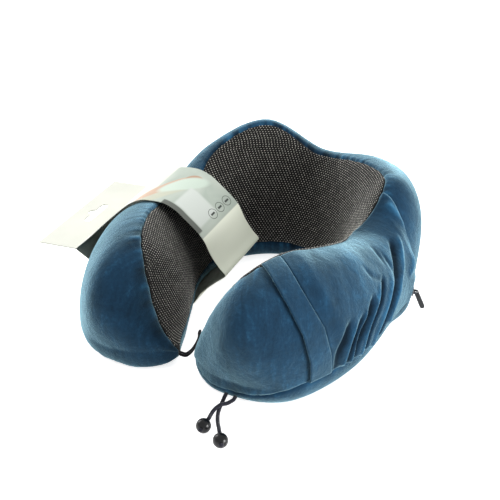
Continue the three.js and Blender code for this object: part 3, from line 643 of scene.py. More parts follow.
def surfaceLookup(points, uv):
    # place, normal and along-vector on a cloth at distances along and down it
    normals = gridNormals(points)
    lines = np.gradient(points, axis=0)
    lines /= np.maximum(np.linalg.norm(lines, axis=2, keepdims=True), 1e-12)

    def at(a, d):
        row = np.clip(np.searchsorted(uv[:, 0, 0], a) - 1, 0, len(points) - 2)
        t = (a - uv[row, 0, 0]) / (uv[row + 1, 0, 0] - uv[row, 0, 0])
        found = []
        for i in (row, row + 1):
            line = uv[i, :, 1]
            j = int(np.clip(np.searchsorted(line, d) - 1, 1, len(line) - 3))
            s = (d - line[j]) / max(line[j + 1] - line[j], 1e-9)
            found.append([g[i, j] * (1 - s) + g[i, j + 1] * s for g in (points, normals, lines)])
        return [found[0][k] * (1 - t) + found[1][k] * t for k in range(3)]

    return at


def knitDots(m):
    # every row is spaced along its own length, counted from the middle of the U
    at = surfaceLookup(*meshGrid)
    points, arc, downs = meshGrid[0], meshGrid[1][:, 0, 0], meshGrid[1][..., 1]
    pitch, ends, laid = m["dotPitch"], m["bareEnds"], []
    for row in range(1, int(downs.max() / m["rowPitch"])):
        down = row * m["rowPitch"] + m["firstRow"]
        run = runAlong(np.array([[np.interp(down, downs[i], points[i, :, k]) for k in range(3)]
                                 for i in range(len(arc))]))
        first = (run[len(arc) // 2] + 0.5 * (row % 2) * pitch) % pitch
        for a in np.interp(np.arange(first, run[-1], pitch), run, arc):
            length = downs[np.clip(np.searchsorted(arc, a), 0, len(arc) - 1), -1]
            if m["bareTop"] <= down <= length - m["bareFoot"] and ends < a < arc[-1] - ends:
                place, normal, way = at(a, down)
                laid.append((place - normal * m["sunk"], normal, way))
    return np.swapaxes(laid, 0, 1)


laidDots = knitDots(meshLook)
dots = repeated("knit_dots", "Cone", laidDots, meshLook, dotFinish(meshLook))
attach(dots, "pillow")
print("neck mesh made, dots:", len(laidDots[0]))


# the side pocket: a gathered panel and a wide hem, sewn over the cover of the right arm
sideStep, sideShares = 0.5, 161
sideTurns = np.arange(-form["noseTurn"], form["noseTurn"] + sideStep / 2, sideStep)
sideLengths = np.array([lengthAt(t, "side") for t in sideTurns])
sideSkin = np.array([skinRow(t, "side", np.linspace(0, length, sideShares), np.zeros(sideShares))
                     for t, length in zip(sideTurns, sideLengths)])
sideArc = runAlong(sideSkin[:, sideShares // 2])


def skinAt(turn, share):
    # points of the side skin at turns and shares, between the table's own
    i = np.clip((turn - sideTurns[0]) / sideStep, 0, len(sideTurns) - 1.001)
    j = np.clip(share * (sideShares - 1), 0, sideShares - 1.001)
    a, b = i.astype(int), j.astype(int)
    fi, fj, g = (i - a)[..., None], (j - b)[..., None], sideSkin
    return (g[a, b] * (1 - fi) * (1 - fj) + g[a + 1, b] * fi * (1 - fj)
            + g[a, b + 1] * (1 - fi) * fj + g[a + 1, b + 1] * fi * fj)


def sideLength(turn):
    return np.interp(turn, sideTurns, sideLengths)


def flatPlace(turn, share):
    # the same place as distances along and down the cloth, in mm
    return np.interp(turn, sideTurns, sideArc), share * sideLength(turn)


pocket = {
    "rows": [0, 0.2, 0.4, 0.6, 0.8, 1], "rear": [67, 71.2, 74.1, 76.2, 76.8, 80.3],
    "stitch": [137.6, 133.5, 129.5, 125.5, 123.7, 123], "hem": [145.2, 140.5, 135.9, 132.2, 130.3, 129.9],
    "height": 2.45, "fullness": 3.4, "hemHeight": 3.25, "foldShare": 1.45, "top": 0.012, "foot": 0.99,
    "columns": 190, "closeColumns": [0.002, 0.006, 0.991, 0.995, 0.998], "downRows": 120,
    # rise, half width, taper at the start and at the end (mm), then places as turn and share down
    "folds": [
        (1.7, 3.4, 8, 10, [(70.5, .05), (72.5, .2), (72.9, .37), (73.7, .45), (75.9, .54), (82, .61),
                           (87.6, .69)]),
        (1.3, 2.6, 8, 8, [(73.7, .45), (74.4, .54), (76.1, .63), (77.5, .71), (79.2, .86)]),
        (-3.7, 2.7, 20, 3, [(82.9, .29), (88.7, .4), (93.2, .5), (95.7, .58), (98.3, .66), (101, .74),
                            (103.8, .83), (105.6, .91), (106.4, .98)]),
        (1.5, 2.2, 10, 4, [(79.6, .3), (83.8, .42), (89.3, .53), (93.7, .61), (96.9, .7), (99.6, .79),
                           (101.6, .88)]),
        (1.6, 2.3, 12, 3, [(97.2, .49), (100.1, .58), (102.8, .66), (105.4, .74), (108, .84), (109.4, .97)]),
        (-3.2, 1.9, 14, 3, [(101.2, .45), (103.6, .54), (106.1, .63), (108.6, .7), (110.9, .8),
                            (112.6, .97)]),
        (1.3, 1.6, 14, 3, [(104, .47), (105.9, .54), (108.3, .62), (110.6, .69), (112.7, .79), (114.2, .97)]),
        (-3.4, 2.2, 14, 3, [(108.2, .51), (109.6, .58), (111.6, .66), (113.9, .74), (115.6, .82),
                            (116.8, .97)]),
        (1.1, 1.7, 12, 3, [(111.2, .57), (113, .64), (115.1, .72), (116.9, .82), (118, .97)]),
        (-3.2, 2.1, 14, 3, [(112.9, .59), (114.7, .68), (116.6, .76), (118.1, .84), (119.2, .97)]),
        (1.1, 1.7, 12, 3, [(115.4, .61), (116.9, .68), (118.7, .77), (120.4, .97)]),
        (-2.8, 2.2, 16, 3, [(117.5, .58), (119.1, .67), (120.4, .75), (122, .85), (122.4, .97)]),
        (-1.2, 3.2, 14, 14, [(97.3, .22), (97.5, .37), (98.5, .48)]),
        (-0.9, 2.4, 14, 14, [(95.2, .28), (95.9, .43), (96.3, .59)]),
        (-0.7, 2.2, 14, 14, [(109.8, .28), (106.6, .43), (101.3, .51)]),
    ],
    # how far from the rear and the front edge the folds come to their full height (mm)
    "foldsIn": (6, 8),
    # the same for the fullness, from the top, the foot, the front and the rear
    "fullIn": (30, 7, 16, 12),
    # how far in the rear edge rolls, the groove along the stitches and its depth, how far in the top,
    # the foot and the hem's ends are tucked, where that starts and how deep it goes (mm)
    "rearRoll": 2.2, "groove": 1.8, "grooveDepth": 1.3, "topTuck": 3.2, "footTuck": 4.6, "hemTuck": 3.4,
    "tuckFrom": 0.6, "tuckDepth": 1.6,
    # soft relief: height, sizes along and down (mm) and layer, and how fast the rear's puckers die away
    "broad": (0.5, 22, 26, 11), "fine": (0.25, 9, 13, 12), "rearPuckers": (0.5, 40, 4.6, 13), "rearFade": 6,
    "hemRelief": (0.3, 12, 17, 15),
    # the height of a fold whose valley gets the full painted shade and whose ridge the full paler tone (mm),
    # and how much of the relief is painted so
    "fullShadeFold": 3.2, "reliefShade": 0.4,
}
# the panel's front edge lies just past the row of stitches, and the hem starts there
pocket["seam"] = [t + 0.15 for t in pocket["stitch"]]


def rowsAt(values, share):
    # a value given at the pocket's rows, at shares of the way down
    return np.interp(share, pocket["rows"], values)


def foldLift(turn, share, folds, samples=80, smoothings=40):
    a, d = flatPlace(turn, share)
    lift = np.zeros_like(a)
    for rise, width, startTaper, endTaper, places in folds:
        knots = np.array(places, float)
        k = np.linspace(0, len(knots) - 1, samples)
        line = np.stack([np.interp(k, range(len(knots)), knots[:, c]) for c in (0, 1)], axis=1)
        for _ in range(smoothings):
            line[1:-1] = (line[:-2] + line[1:-1] * 2 + line[2:]) / 4
        la, ld = flatPlace(line[:, 0], line[:, 1])
        run = runAlong(np.stack([la, ld], axis=1))
        gap = np.hypot(a[..., None] - la, d[..., None] - ld)
        at = run[gap.argmin(axis=-1)]
        fade = eased(np.clip(at / startTaper, 0, 1) * np.clip((run[-1] - at) / endTaper, 0, 1))
        # valleys are rounder than ridges
        lift += rise * fade * np.exp(-(gap.min(axis=-1) / width) ** (2.0 if rise < 0 else 1.5))
    return lift


def pocketShares(p, edges, w):
    # turns and shares down the side between two edges, from just below the top seam, and the side's length
    k = np.linspace(0, 1, p["downRows"])[None, :]
    share = p["top"] + (p["foot"] - p["top"]) * k
    for _ in range(3):
        first, last = (rowsAt(edge, share) for edge in edges)
        turn = first + (last - first) * w
        length = sideLength(turn)
        top = p["top"] + topDrop(turn) / length
        share = top + (p["foot"] - top) * k
    return turn, share, length


def tucked(lift, near, reach, depth):
    # a height over the skin, rolled down to a depth below the skin within reach of an edge
    share = np.clip(1 - near / reach, 0, 1)
    return lift - (lift + depth) * (1 - np.sqrt(1 - share ** 2))


def pocketGrid(p):
    w = np.sort(np.concatenate([np.linspace(0, 1, p["columns"]), p["closeColumns"]]))[:, None]
    turn, share, length = pocketShares(p, [p["rear"], p["seam"]], w)
    points = skinAt(turn, share)
    a, d = flatPlace(turn, share)
    rear, front = (flatPlace(rowsAt(p[edge], share), 0)[0] for edge in ("rear", "seam"))
    fromRear, toFront = a - rear, front - a
    folds = foldLift(turn, share, p["folds"]) * p["foldShare"]
    inside = np.clip(fromRear / p["foldsIn"][0], 0, 1) * np.clip(toFront / p["foldsIn"][1], 0, 1)
    body = softRelief(a, d, *p["broad"]) + softRelief(a, d, *p["fine"])
    top, foot, frontIn, rearIn = p["fullIn"]
    full = eased(np.clip(d / top, 0, 1) * np.clip((length - d) / foot, 0.4, 1)
                 * np.clip(toFront / frontIn, 0, 1) * np.clip(fromRear / rearIn, 0, 1))
    pucker = softRelief(a, d, *p["rearPuckers"]) * np.exp(-fromRear / p["rearFade"])
    lift = np.maximum(p["height"] + p["fullness"] * full + (folds + body) * inside + pucker, 0.5)
    lift = tucked(lift, fromRear, p["rearRoll"], 0.3)
    groove = np.clip(1 - toFront / p["groove"], 0, 1)
    lift = lift - p["grooveDepth"] * (1 - np.sqrt(1 - groove ** 2))
    for near, reach in ((d - topDrop(turn), p["topTuck"]), (length - d, p["footTuck"])):
        lift = tucked(lift, near - p["tuckFrom"], reach, p["tuckDepth"])
    # painted shade in the fold valleys and a paler tone on the ridges, partly rubbed pile
    foldShadeAndRub = folds / p["fullShadeFold"] + body * inside * p["reliefShade"] + pucker
    return points + gridNormals(points) * lift[..., None], np.stack([a, d], axis=-1), foldShadeAndRub


def hemGrid(p):
    # past the hem's width the columns roll over its free edge and go back under it
    share = pocketShares(p, [p["seam"], p["hem"]], np.array([[0.5]]))[1][0]
    start, end = (flatPlace(rowsAt(p[side], share), 0)[0] for side in ("seam", "hem"))
    full = p["hemHeight"]
    # columns as distances past the seam or the free edge, with their heights over the skin
    rising = [(0, full - 1.4), (0.25, full - 0.8), (0.7, full - 0.25), (1.4, full)]
    folded = [(-1.2, full + 0.3), (-0.5, full + 0.25), (0, full - 0.1), (0.15, full - 0.6),
              (-0.1, full - 1.1), (-0.9, full - 1.5), (-2.2, full - 1.8), (-5, 0.6)]
    flatFrom, flatTo = start + rising[-1][0], end - 0.9
    columns = [(start + off, height) for off, height in rising]
    columns += [(flatFrom + (flatTo - flatFrom) * k, full) for k in np.linspace(0, 1, 12)[1:-1]]
    columns += [(end + off, height) for off, height in folded]
    a, lifts = (np.array([column[k] for column in columns]) for k in (0, 1))
    lifts = lifts[:, None]
    turn = np.interp(a, sideArc, sideTurns)
    length = sideLength(turn)
    shares = share + 0 * turn
    d = shares * length
    # the normals come from even columns, because the folded ones run back
    even = start + (end - start) * (np.arange(len(a)) / len(a))[:, None]
    normals = gridNormals(skinAt(np.interp(even, sideArc, sideTurns), shares))
    lift = lifts + softRelief(a, d, *p["hemRelief"]) * (lifts > 2)
    for near in (d - topDrop(turn), length - d):
        lift = tucked(lift, near - p["tuckFrom"], p["hemTuck"], p["tuckDepth"])
    return skinAt(turn, shares) + normals * lift[..., None], np.stack([a, d], axis=-1)


pocketPanel = gridObject("side_pocket_cloth", pocketGrid(pocket), velourCloth)
hemCloth = gridObject("pocket_hem_cloth", hemGrid(pocket), velourCloth)
for piece, node in ((pocketPanel, "side_pocket"), (hemCloth, "pocket_hem")):
    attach(piece, "pillow")
    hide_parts(node)


def threadFinish():
    f = Finish("sewingThread")
    twist = f.wave(f.place(), 900, 1.0)
    colour = f.ramp(twist, (0.2, tone(24, 50, 74)), (0.8, tone(70, 116, 146)))
    return f.surface(Base_Color=colour, Roughness=0.6, Normal=f.bump(twist, 0.4, 0.0001),
                     Specular_IOR_Level=0.3)


# how far apart the stitches are, how high over the skin, and the bare ends of their row, in mm
stitchLook = {"pitch": 3.0, "height": 1.55, "bare": 2,
              "size": (1.05, 0.26, 0.24), "variation": 0.1, "seed": 7}


def hemStitches(p, look):
    share = np.linspace(0.02, 0.98, 2000)
    run = runAlong(skinAt(rowsAt(p["seam"], share), share))
    shares = np.interp(np.arange(look["bare"], run[-1] - look["bare"], look["pitch"]), run, share)
    turns = rowsAt(p["seam"], shares)
    middle = skinAt(turns, shares)
    line = unit(skinAt(turns, shares + 0.004) - middle)
    facing = unit(np.cross(skinAt(turns + 0.5, shares) - middle, line))
    return middle + facing * look["height"], facing, line


laidStitches = hemStitches(pocket, stitchLook)
stitches = repeated("hem_stitches", "IcoSphere", laidStitches, stitchLook, threadFinish())
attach(stitches, "pillow")
print("pocket made")


# zip: woven tapes, coil teeth, end stops, slider and pull
def onArc(radius, turn, height):
    angle = np.radians(turn)
    return np.stack([radius * np.sin(angle), radius * np.cos(angle) - form["originRadius"],
                     height + 0 * angle], axis=-1)


def tapeFinish():
    f = Finish("zipTape")
    weave = f.wave(f.place("UV", (1, 1, 1), (0, 0, 0.6)), 480, 0.4, 1.0)
    ribs = f.plus(weave, f.times(f.wave(f.place("UV"), 620, bands="Y"), 0.5))
    colour = f.ramp(ribs, (0.1, tone(17, 28, 42)), (0.9, tone(38, 62, 86)))
    return f.surface(Base_Color=colour, Roughness=0.85, Normal=f.bump(ribs, 0.5, 0.0002),
                     Specular_IOR_Level=0.2)


def toothFinish():
    f = Finish("zipCoil")
    worn = f.noise(f.place(), 700, 2)
    return f.surface(Base_Color=f.ramp(worn, (0.3, tone(20, 27, 38)), (0.7, tone(40, 52, 68))),
                     Roughness=f.scaled(worn, 0.2, 0.8, 0.32, 0.5), Normal=f.bump(worn, 0.15, 0.0001),
                     Specular_IOR_Level=0.5)


def zipTape(z, side, name, material):
    turns = np.linspace(z["from"] - z["margin"], z["to"] + z["margin"], z["tapeSteps"])
    inner, outer, low, high = z["tapeInner"], z["tapeOuter"], z["tapeFrom"], z["tapeTo"]
    ring = [(inner, low), (outer, low), (outer, high), (inner, high)][::side]
    points = np.stack([onArc(r, turns, form["zipHeight"] + side * h) for r, h in ring + ring[:1]], axis=1)
    thick, wide = round(outer - inner, 3), high - low
    ringRun = np.cumsum([0, thick, wide, thick, wide])
    uv = np.stack(np.broadcast_arrays(np.radians(turns)[:, None] * z["mapRadius"], ringRun), axis=-1)
    piece = gridObject("zip_tape_cloth_" + name, (points, uv), material, capped, facedOut, smooth=False)
    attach(piece, "pillow")
    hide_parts("zip_tape_" + name)


def coilTeeth(z, side, name, material):
    pitch = math.degrees(z["toothPitch"] / z["toothRadius"])
    first, last = z["from"] + z["toothEnds"][0], z["to"] - z["toothEnds"][1]
    turns = np.arange(first, last, pitch) + (pitch / 2 if side > 0 else 0)
    angle = np.radians(turns)
    laid = (onArc(z["toothRadius"], turns, form["zipHeight"] + side * z["toothAcross"]),
            np.stack([np.sin(angle), np.cos(angle), 0 * angle], axis=1),
            unit(np.stack([np.cos(angle), -np.sin(angle), z["toothLean"] + 0 * angle], axis=1)))
    piece = repeated("zip_teeth_" + name, "IcoSphere", laid, z, material)
    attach(piece, "pillow")
    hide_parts("zip_coil_" + name)


for make, material in ((zipTape, tapeFinish()), (coilTeeth, toothFinish())):
    for side, name in ((-1, "lower"), (1, "upper")):
        make(zipLook, side, name, material)


def metalFinish(name, dark, light, metallic, rough):
    f = Finish(name)
    worn = f.noise(f.place(), 320, 4, 0.6)
    scratch = f.noise(f.place("Object", (400, 3000, 400), (0.3, 0.5, 0.8)), 1, 2)
    return f.surface(Base_Color=f.ramp(worn, (0.3, dark), (0.7, light)), Metallic=metallic,
                     Roughness=f.scaled(f.times(worn, scratch), 0.1, 0.5, rough - 0.08, rough + 0.14),
                     Normal=f.bump(scratch, 0.12, 0.0001))


def bevelled(node, name, material, width):
    # the solid's own shape with its edges softened by a width in mm
    mesh = bpy.data.objects[node].data.copy()
    mesh.name = name
    piece = newObject(name, mesh)
    reworked(mesh, merged, flattened)
    mesh.materials.clear()
    mesh.materials.append(material)
    edge = piece.modifiers.new("softEdges", "BEVEL")
    edge.width, edge.segments, edge.limit_method = width * mm, 3, "ANGLE"
    edge.angle_limit, edge.harden_normals = math.radians(40), True
    mesh.polygons.foreach_set("use_smooth", [True] * len(mesh.polygons))
    return piece


stopFinish = metalFinish("zipMetal", tone(44, 46, 50), tone(78, 82, 88), 0.85, 0.34)
pullFinish = metalFinish("pullEnamel", tone(20, 21, 23), tone(34, 36, 39), 0.2, 0.4)
for node, name, finish, width, body, slot in (
        ("zip_slider", "slider_body", stopFinish, 0.14, "slider", "zip_metal"),
        ("zip_pull", "pull_tag", pullFinish, 0.28, "pull", "pull"),
        ("zip_stop_right", "stop_right_crimp", stopFinish, 0.2, "pillow", "zip_metal"),
        ("zip_stop_left", "stop_left_crimp", stopFinish, 0.2, "pillow", "zip_metal")):
    piece = bevelled(node, name, finish, width)
    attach(piece, body)
    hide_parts(node)
print("zip made")


# cords, beads and knots
cords = {
    "loop": {"diameter": 2.0, "path": [
        (-8.1, -134, 15.2), (-6, -134.3, 14.8), (-2.6, -132.6, 13.8), (-1.6, -127, 13.5), (-2.4, -119, 13.9),
        (-4.4, -111, 14.6), (-6.4, -105, 15.8), (-8.6, -101.6, 15.6), (-9.6, -101.8, 13.6), (-8, -104.8, 12),
        (-5.4, -110.6, 11.7), (-3, -119, 11.2), (-2, -127, 10.8), (-2.8, -132.4, 11.2), (-6, -134.3, 12.2),
        (-8.1, -134, 12.6)]},
    "bead_1": {"diameter": 3.1, "path": [
        (47.3, -151.4, 5.8), (47.3, -154.6, 4.3), (47.9, -159.2, 2.3), (49.6, -166, 1.7), (52.4, -173, 1.7),
        (57.5, -181.5, 2.4), (62.4, -188, 4), (66, -192.8, 5.1), (68.1, -195.7, 5.4)]},
    "bead_2": {"diameter": 3.1, "path": [
        (55.2, -151.3, 5.3), (55.1, -154.4, 3.8), (53.2, -160.6, 4), (50.6, -165.6, 5.1), (48.8, -172, 4.2),
        (49.4, -178, 3.9), (51.2, -183.5, 5), (51.8, -186.7, 5.4)]},
}
bead = {"diameter": 11.5, "neckLength": 2.4, "neckDiameter": 4.6, "gap": 0.3, "knot": 3.6}


def slopes(a, b, c, d, axes=3):
    # how a smooth curve leaves b and reaches c, with a before and d after them
    ta, tb, tc = (max(np.linalg.norm((q - p)[:axes]), 1e-6) ** 0.5 for p, q in ((a, b), (b, c), (c, d)))
    return (((b - a) / ta - (c - a) / (ta + tb) + (c - b) / tb) * tb,
            ((c - b) / tb - (d - b) / (tb + tc) + (d - c) / tc) * tb)


def curved(b, c, rise, count):
    # points of that curve from b on, without c
    return [(2 * t ** 3 - 3 * t ** 2 + 1) * b + (t ** 3 - 2 * t ** 2 + t) * rise[0]
            + (-2 * t ** 3 + 3 * t ** 2) * c + (t ** 3 - t ** 2) * rise[1]
            for t in np.linspace(0, 1, count, endpoint=False)]


def smoothPath(places, perSpan=8):
    # straight first and last stretch, and one smooth curve through the rest
    given = np.array(places, float) + (0, -form["originRadius"], 0)
    inner = given[1:-1]
    padded = np.vstack([2 * inner[0] - inner[1], inner, 2 * inner[-1] - inner[-2]])
    line = [given[0]]
    for k in range(1, len(padded) - 2):
        line += curved(padded[k], padded[k + 1], slopes(*padded[k - 1:k + 3]), perSpan)
    return np.array(line + [given[-2], given[-1]])


def cordTube(name, line, diameter, material, sides=14):
    # a round tube with closed ends, its map running along and round it
    steps = np.diff(line, axis=0)
    ahead = unit(np.vstack([steps[:1], (steps[:-1] + steps[1:]) / 2, steps[-1:]]))
    side = np.cross(ahead[0], (0, 0, 1))
    run, angles = runAlong(line), np.linspace(0, 2 * math.pi, sides + 1)
    rings = [[line[0]] * (sides + 1)]
    for place, way in zip(line, ahead):
        side = unit(side - way * side.dot(way))
        up = np.cross(side, way)
        rings.append([place + (side * math.cos(t) + up * math.sin(t)) * diameter / 2 for t in angles])
    rings.append([line[-1]] * (sides + 1))
    down = np.concatenate([run[:1], run, run[-1:]])
    uv = np.stack(np.broadcast_arrays(down[:, None], angles * diameter / 2), axis=-1)
    return gridObject(name, (np.array(rings), uv), material, facedOut), run[-1]


def braidFinish(name, dark, light):
    f = Finish(name)
    strands = [f.wave(f.place("UV", (1, 1, 1), (0, 0, turn)), 330, 0.3) for turn in (0.75, -0.75)]
    braid = f.math("MAXIMUM", *strands)
    fluff = f.noise(f.place(), 2400, 2)
    return f.surface(Base_Color=f.ramp(f.times(braid, fluff), (0.15, dark), (0.75, light)), Roughness=0.8,
                     Normal=f.bump(braid, 0.6, 0.0003), Sheen_Weight=0.2, Sheen_Roughness=0.4,
                     Specular_IOR_Level=0.2)


def turnedShape(name, profile, place, axis, material, sides=48):
    # a lathe shape whose own axis points along the given one
    rim, angles = np.array(profile), np.linspace(0, 2 * math.pi, sides + 1)
    turn = np.array(Vector((0, 0, 1)).rotation_difference(Vector(axis)).to_matrix())
    rings = np.array([[(r * math.cos(t), r * math.sin(t), h) for r, h in rim] for t in angles])
    uv = np.stack(np.broadcast_arrays(angles[:, None] * rim[:, 0].max(), rim[:, 1]), axis=-1)
    return gridObject(name, (rings @ turn.T + place, uv), material, facedOut)


def beadProfile(b):
    radius, neck, rise = b["diameter"] / 2, b["neckDiameter"] / 2, b["neckLength"]
    start = math.asin(neck / radius)
    ball = [(radius * math.sin(t), -radius * math.cos(t)) for t in np.linspace(0, math.pi - start * 1.12, 30)]
    # the collar, as shares of the neck's radius and of its length
    collar = [(0.93, 0.16), (0.84, 0.45), (0.86, 0.75), (0.9, 0.9), (0.84, 1), (0.6, 1), (0, 0.97)]
    return ball + [(neck * wide, radius * math.cos(start) + rise * up) for wide, up in collar]


def knotProfile(half):
    bulge = [(half * math.cos(t) * (1 + 0.1 * math.cos(7 * t)), half * 0.8 * math.sin(t) + 0.05)
             for t in np.linspace(0.08, math.pi / 2, 12)[:-1]]
    return [(0, 0), (half * 0.6, 0)] + bulge + [(0, half * 0.8)]


def beadFinish():
    f = Finish("beadPlastic")
    moulded = f.noise(f.place(), 160, 3)
    return f.surface(Base_Color=f.ramp(moulded, (0.3, tone(6, 7, 9)), (0.7, tone(14, 15, 18))),
                     Roughness=f.scaled(moulded, 0.3, 0.7, 0.2, 0.32), Normal=f.bump(moulded, 0.05, 0.0002),
                     Specular_IOR_Level=0.3)


loopBraid = braidFinish("loopBraid", tone(12, 12, 14), tone(38, 38, 44))
navyBraid = braidFinish("navyBraid", tone(13, 13, 18), tone(44, 45, 60))
beadGloss = beadFinish()

loopLine = smoothPath(cords["loop"]["path"])
loopPiece, loopRun = cordTube("loop_cord_braid", loopLine, cords["loop"]["diameter"], loopBraid)
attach(loopPiece, "pillow")
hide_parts("loop_cord")

beadShape = beadProfile(bead)
beadTop = math.sqrt((bead["diameter"] / 2) ** 2 - (bead["neckDiameter"] / 2) ** 2) + bead["neckLength"]
for number in (1, 2):
    spec = cords[f"bead_{number}"]
    line = smoothPath(spec["path"])
    ahead = unit(line[-1] - line[-2])
    centre = line[-1] + ahead * (bead["gap"] + beadTop)
    ball = turnedShape(f"bead_{number}_ball", beadShape, centre, -ahead, beadGloss)
    knotPlace = centre + ahead * (bead["diameter"] / 2 + bead["gap"])
    knot = turnedShape(f"bead_{number}_knot", knotProfile(bead["knot"] / 2), knotPlace, ahead, navyBraid, 24)
    piece, run = cordTube(f"bead_cord_{number}_braid", line, spec["diameter"], navyBraid)
    for made, node, slot in ((ball, f"bead_{number}", "bead"), (knot, f"bead_knot_{number}", "bead_cord"),
                             (piece, f"bead_cord_{number}", "bead_cord")):
        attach(made, "pillow")
        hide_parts(node)
print("cords made")


# the card sleeve: one folded sheet with a header and a hanging slot
card = {
    "centre": (-100, -23.5), "twist": 6.5, "header": 66, "band": 36, "thickness": 0.5, "middleShare": 0.7194,
    "slotLength": 36, "slotWidth": 7, "slotBump": 4.5, "headerFold": 1.22,
    # the sheet's soft bow, how far from its ends and how high up it starts (mm), and the columns across
    "bow": (0.25, 28, 22, 21), "bowFrom": 45, "bowAbove": 12, "columns": 25,
    # shares of the way out, of the height and of the widening from band to header, all along the sheet
    "route": [
        (2.2, .44, 1), (1.22, .455, 1), (1.17, .47, .97), (.97, .53, .75), (.74, .612, .5), (.474, .7, .25),
        (.2, .777, .08), (-.05, .816, 0), (-.31, .83, 0), (-.64, .828, 0), (-.92, .79, 0), (-1.13, .735, 0),
        (-1.38, .665, 0), (-1.58, .594, 0), (-1.75, .48, 0), (-1.95, .385, 0), (-2.08, .341, 0),
        (-2.09, .329, 0), (-2.05, .314, 0), (-1.84, .254, 0), (-1.6, .178, 0), (-1.44, .118, 0),
        (-1.35, .066, 0), (-1.26, .024, 0), (-1.12, .003, 0), (-1.03, 0, 0), (.36, 0, 0), (.6, .005, 0),
        (.77, .026, .02), (.88, .068, .1), (.93, .135, .25), (.96, .237, .45), (1.03, .34, .75),
        (1.2, .438, .98), (1.23, .4503, 1), (2.2, .4355, 1)],
}
cardPaint = {
    # stock, on the header, is written darker and lower, below the print, lighter than the card's one cream:
    # painted shade and painted light that even out the lamps, which light the header more
    "stock": (tone(186, 187, 177), tone(193, 194, 184)), "lower": (tone(216, 220, 204), tone(214, 220, 202)),
    "mint": (tone(150, 160, 150), tone(166, 174, 164)), "panel": tone(180, 186, 180),
    # the reverse is written a darker grey than the card's pale back, partly painted shade for the hollow
    # under the return
    "strip": tone(84, 88, 82), "ink": tone(50, 54, 52), "reverse": (tone(138, 144, 133), tone(158, 164, 153)),
    # in metres along the sheet from its crest, then across it
    "printFrom": -0.014, "printTo": 0.052, "panelAlong": (0.013, 0.044), "panelAcross": (-0.0285, 0.004),
    "stripAlong": (0.004, 0.047), "stripAcross": (-0.037, -0.0295),
    # offset from the crest, place across, half length, half width, lean
    "shapes": [((-0.002, -0.012, 0.034, 0.009, 1.15), tone(168, 170, 153)),
               ((-0.008, -0.01, 0.03, 0.0055, 1.1), tone(176, 150, 130)),
               ((0.009, 0.018, 0.0085, 0.005, 0.9), tone(160, 130, 108)),
               ((0.006, 0.004, 0.026, 0.008, 1.0), tone(174, 187, 175))],
    # three ring marks with a bar: their places along and across, radii, and half sizes of the bar
    "ringsAlong": 0.043, "ringsAcross": (-0.0025, 0.0115, 0.0255), "ring": (0.0043, 0.0048),
    "bar": (0.0009, 0.0026),
}


def cardReach(c, out):
    middle = form["flankRadius"] * c["middleShare"]
    return -middle - (form["flankRadius"] - middle) * out - c["centre"][0]


def cardLine(c):
    # distance from the card's centre, height and half width, all the way along the sheet
    knots = np.array([(cardReach(c, out), c["thickness"] / 2 + form["crestHeight"] * up,
                       c["band"] + (c["header"] - c["band"]) * wide) for out, up, wide in c["route"]])
    line, last = [], len(knots) - 1
    for k in range(last):
        b, d = knots[k], knots[k + 1]
        rise = (d - b, d - b) if k in (0, last - 1) else slopes(*knots[k - 1:k + 3], axes=2)
        line += curved(b, d, rise, max(3, int(np.linalg.norm((d - b)[:2]) / 1.2)))
    return np.array(line + [knots[-1]])


def cardMaterial(p, crest):
    f = Finish("printedCard")
    parts = f.add("SeparateXYZ", {"Vector": f.place("UV")})
    u, v = f.minus(parts.outputs[0], crest), parts.outputs[1]
    fibre = f.noise(f.place(), 1400, 4, 0.6)

    def inside(value, low, high, soft=0.0006):
        past = f.scaled(value, high - soft, high + soft, 1, 0)
        return f.times(f.scaled(value, low - soft, low + soft), past)

    def blob(du, dv, long, wide, lean, soft=0.25):
        # a soft oval that leans across the sheet
        x, y, c, k = f.minus(u, du), f.minus(v, dv), math.cos(lean), math.sin(lean)
        along = f.times(f.plus(f.times(x, c), f.times(y, k)), 1 / long)
        across = f.times(f.plus(f.times(y, c), f.times(x, -k)), 1 / wide)
        return f.scaled(f.plus(f.times(along, along), f.times(across, across)), 1 - soft, 1 + soft, 1, 0)

    # darker stock above the print and lighter paint below it: painted shade and painted light
    stock = f.ramp(f.noise(f.place(), 30, 2), *zip((0.3, 0.7), p["stock"]))
    lower = f.mix(f.scaled(u, p["printTo"], p["printTo"] + 0.06), *p["lower"])
    paint = f.mix(f.scaled(u, p["printTo"] - 0.0004, p["printTo"] + 0.0004), stock, lower)
    clouds = f.noise(f.place("UV", (40, 22, 1), (0, 0, 0.5)), 1, 2, 0.5, 0.6)
    soft = f.ramp(clouds, *zip((0.35, 0.65), p["mint"]))
    layers = [(inside(u, p["printFrom"], p["printTo"]), soft)]
    layers += [(blob(*shape), colour) for shape, colour in p["shapes"]]
    panel = f.times(inside(u, *p["panelAlong"], 0.001), inside(v, *p["panelAcross"], 0.0015))
    strip = f.times(inside(u, *p["stripAlong"]), inside(v, *p["stripAcross"]))
    layers += [(panel, p["panel"]), (strip, p["strip"])]
    for place in p["ringsAcross"]:
        du, dv = f.minus(u, p["ringsAlong"]), f.times(f.minus(v, place), 0.8)
        away = f.math("POWER", f.plus(f.times(du, du), f.times(dv, dv)), 0.5)
        ring = inside(away, *p["ring"], 0.00012)
        bar = f.times(*(inside(way, -half, half, 0.0001) for way, half in zip((du, dv), p["bar"])))
        layers.append((f.math("MAXIMUM", ring, bar), p["ink"]))
    for share, colour in layers:
        paint = f.mix(share, paint, colour)
    return f.surface(Base_Color=paint, Roughness=f.scaled(fibre, 0.3, 0.7, 0.42, 0.58),
                     Specular_IOR_Level=0.3, Normal=f.bump(fibre, 0.12, 0.0002))


def cardBackMaterial(p):
    f = Finish("shadedCardReverse")
    # the card's reverse, darker than its pale back: partly painted shade
    fibre = f.noise(f.place(), 1300, 4, 0.6)
    return f.surface(Base_Color=f.ramp(fibre, *zip((0.3, 0.7), p["reverse"])), Specular_IOR_Level=0.2,
                     Roughness=f.scaled(fibre, 0.3, 0.7, 0.6, 0.75), Normal=f.bump(fibre, 0.15, 0.0002))


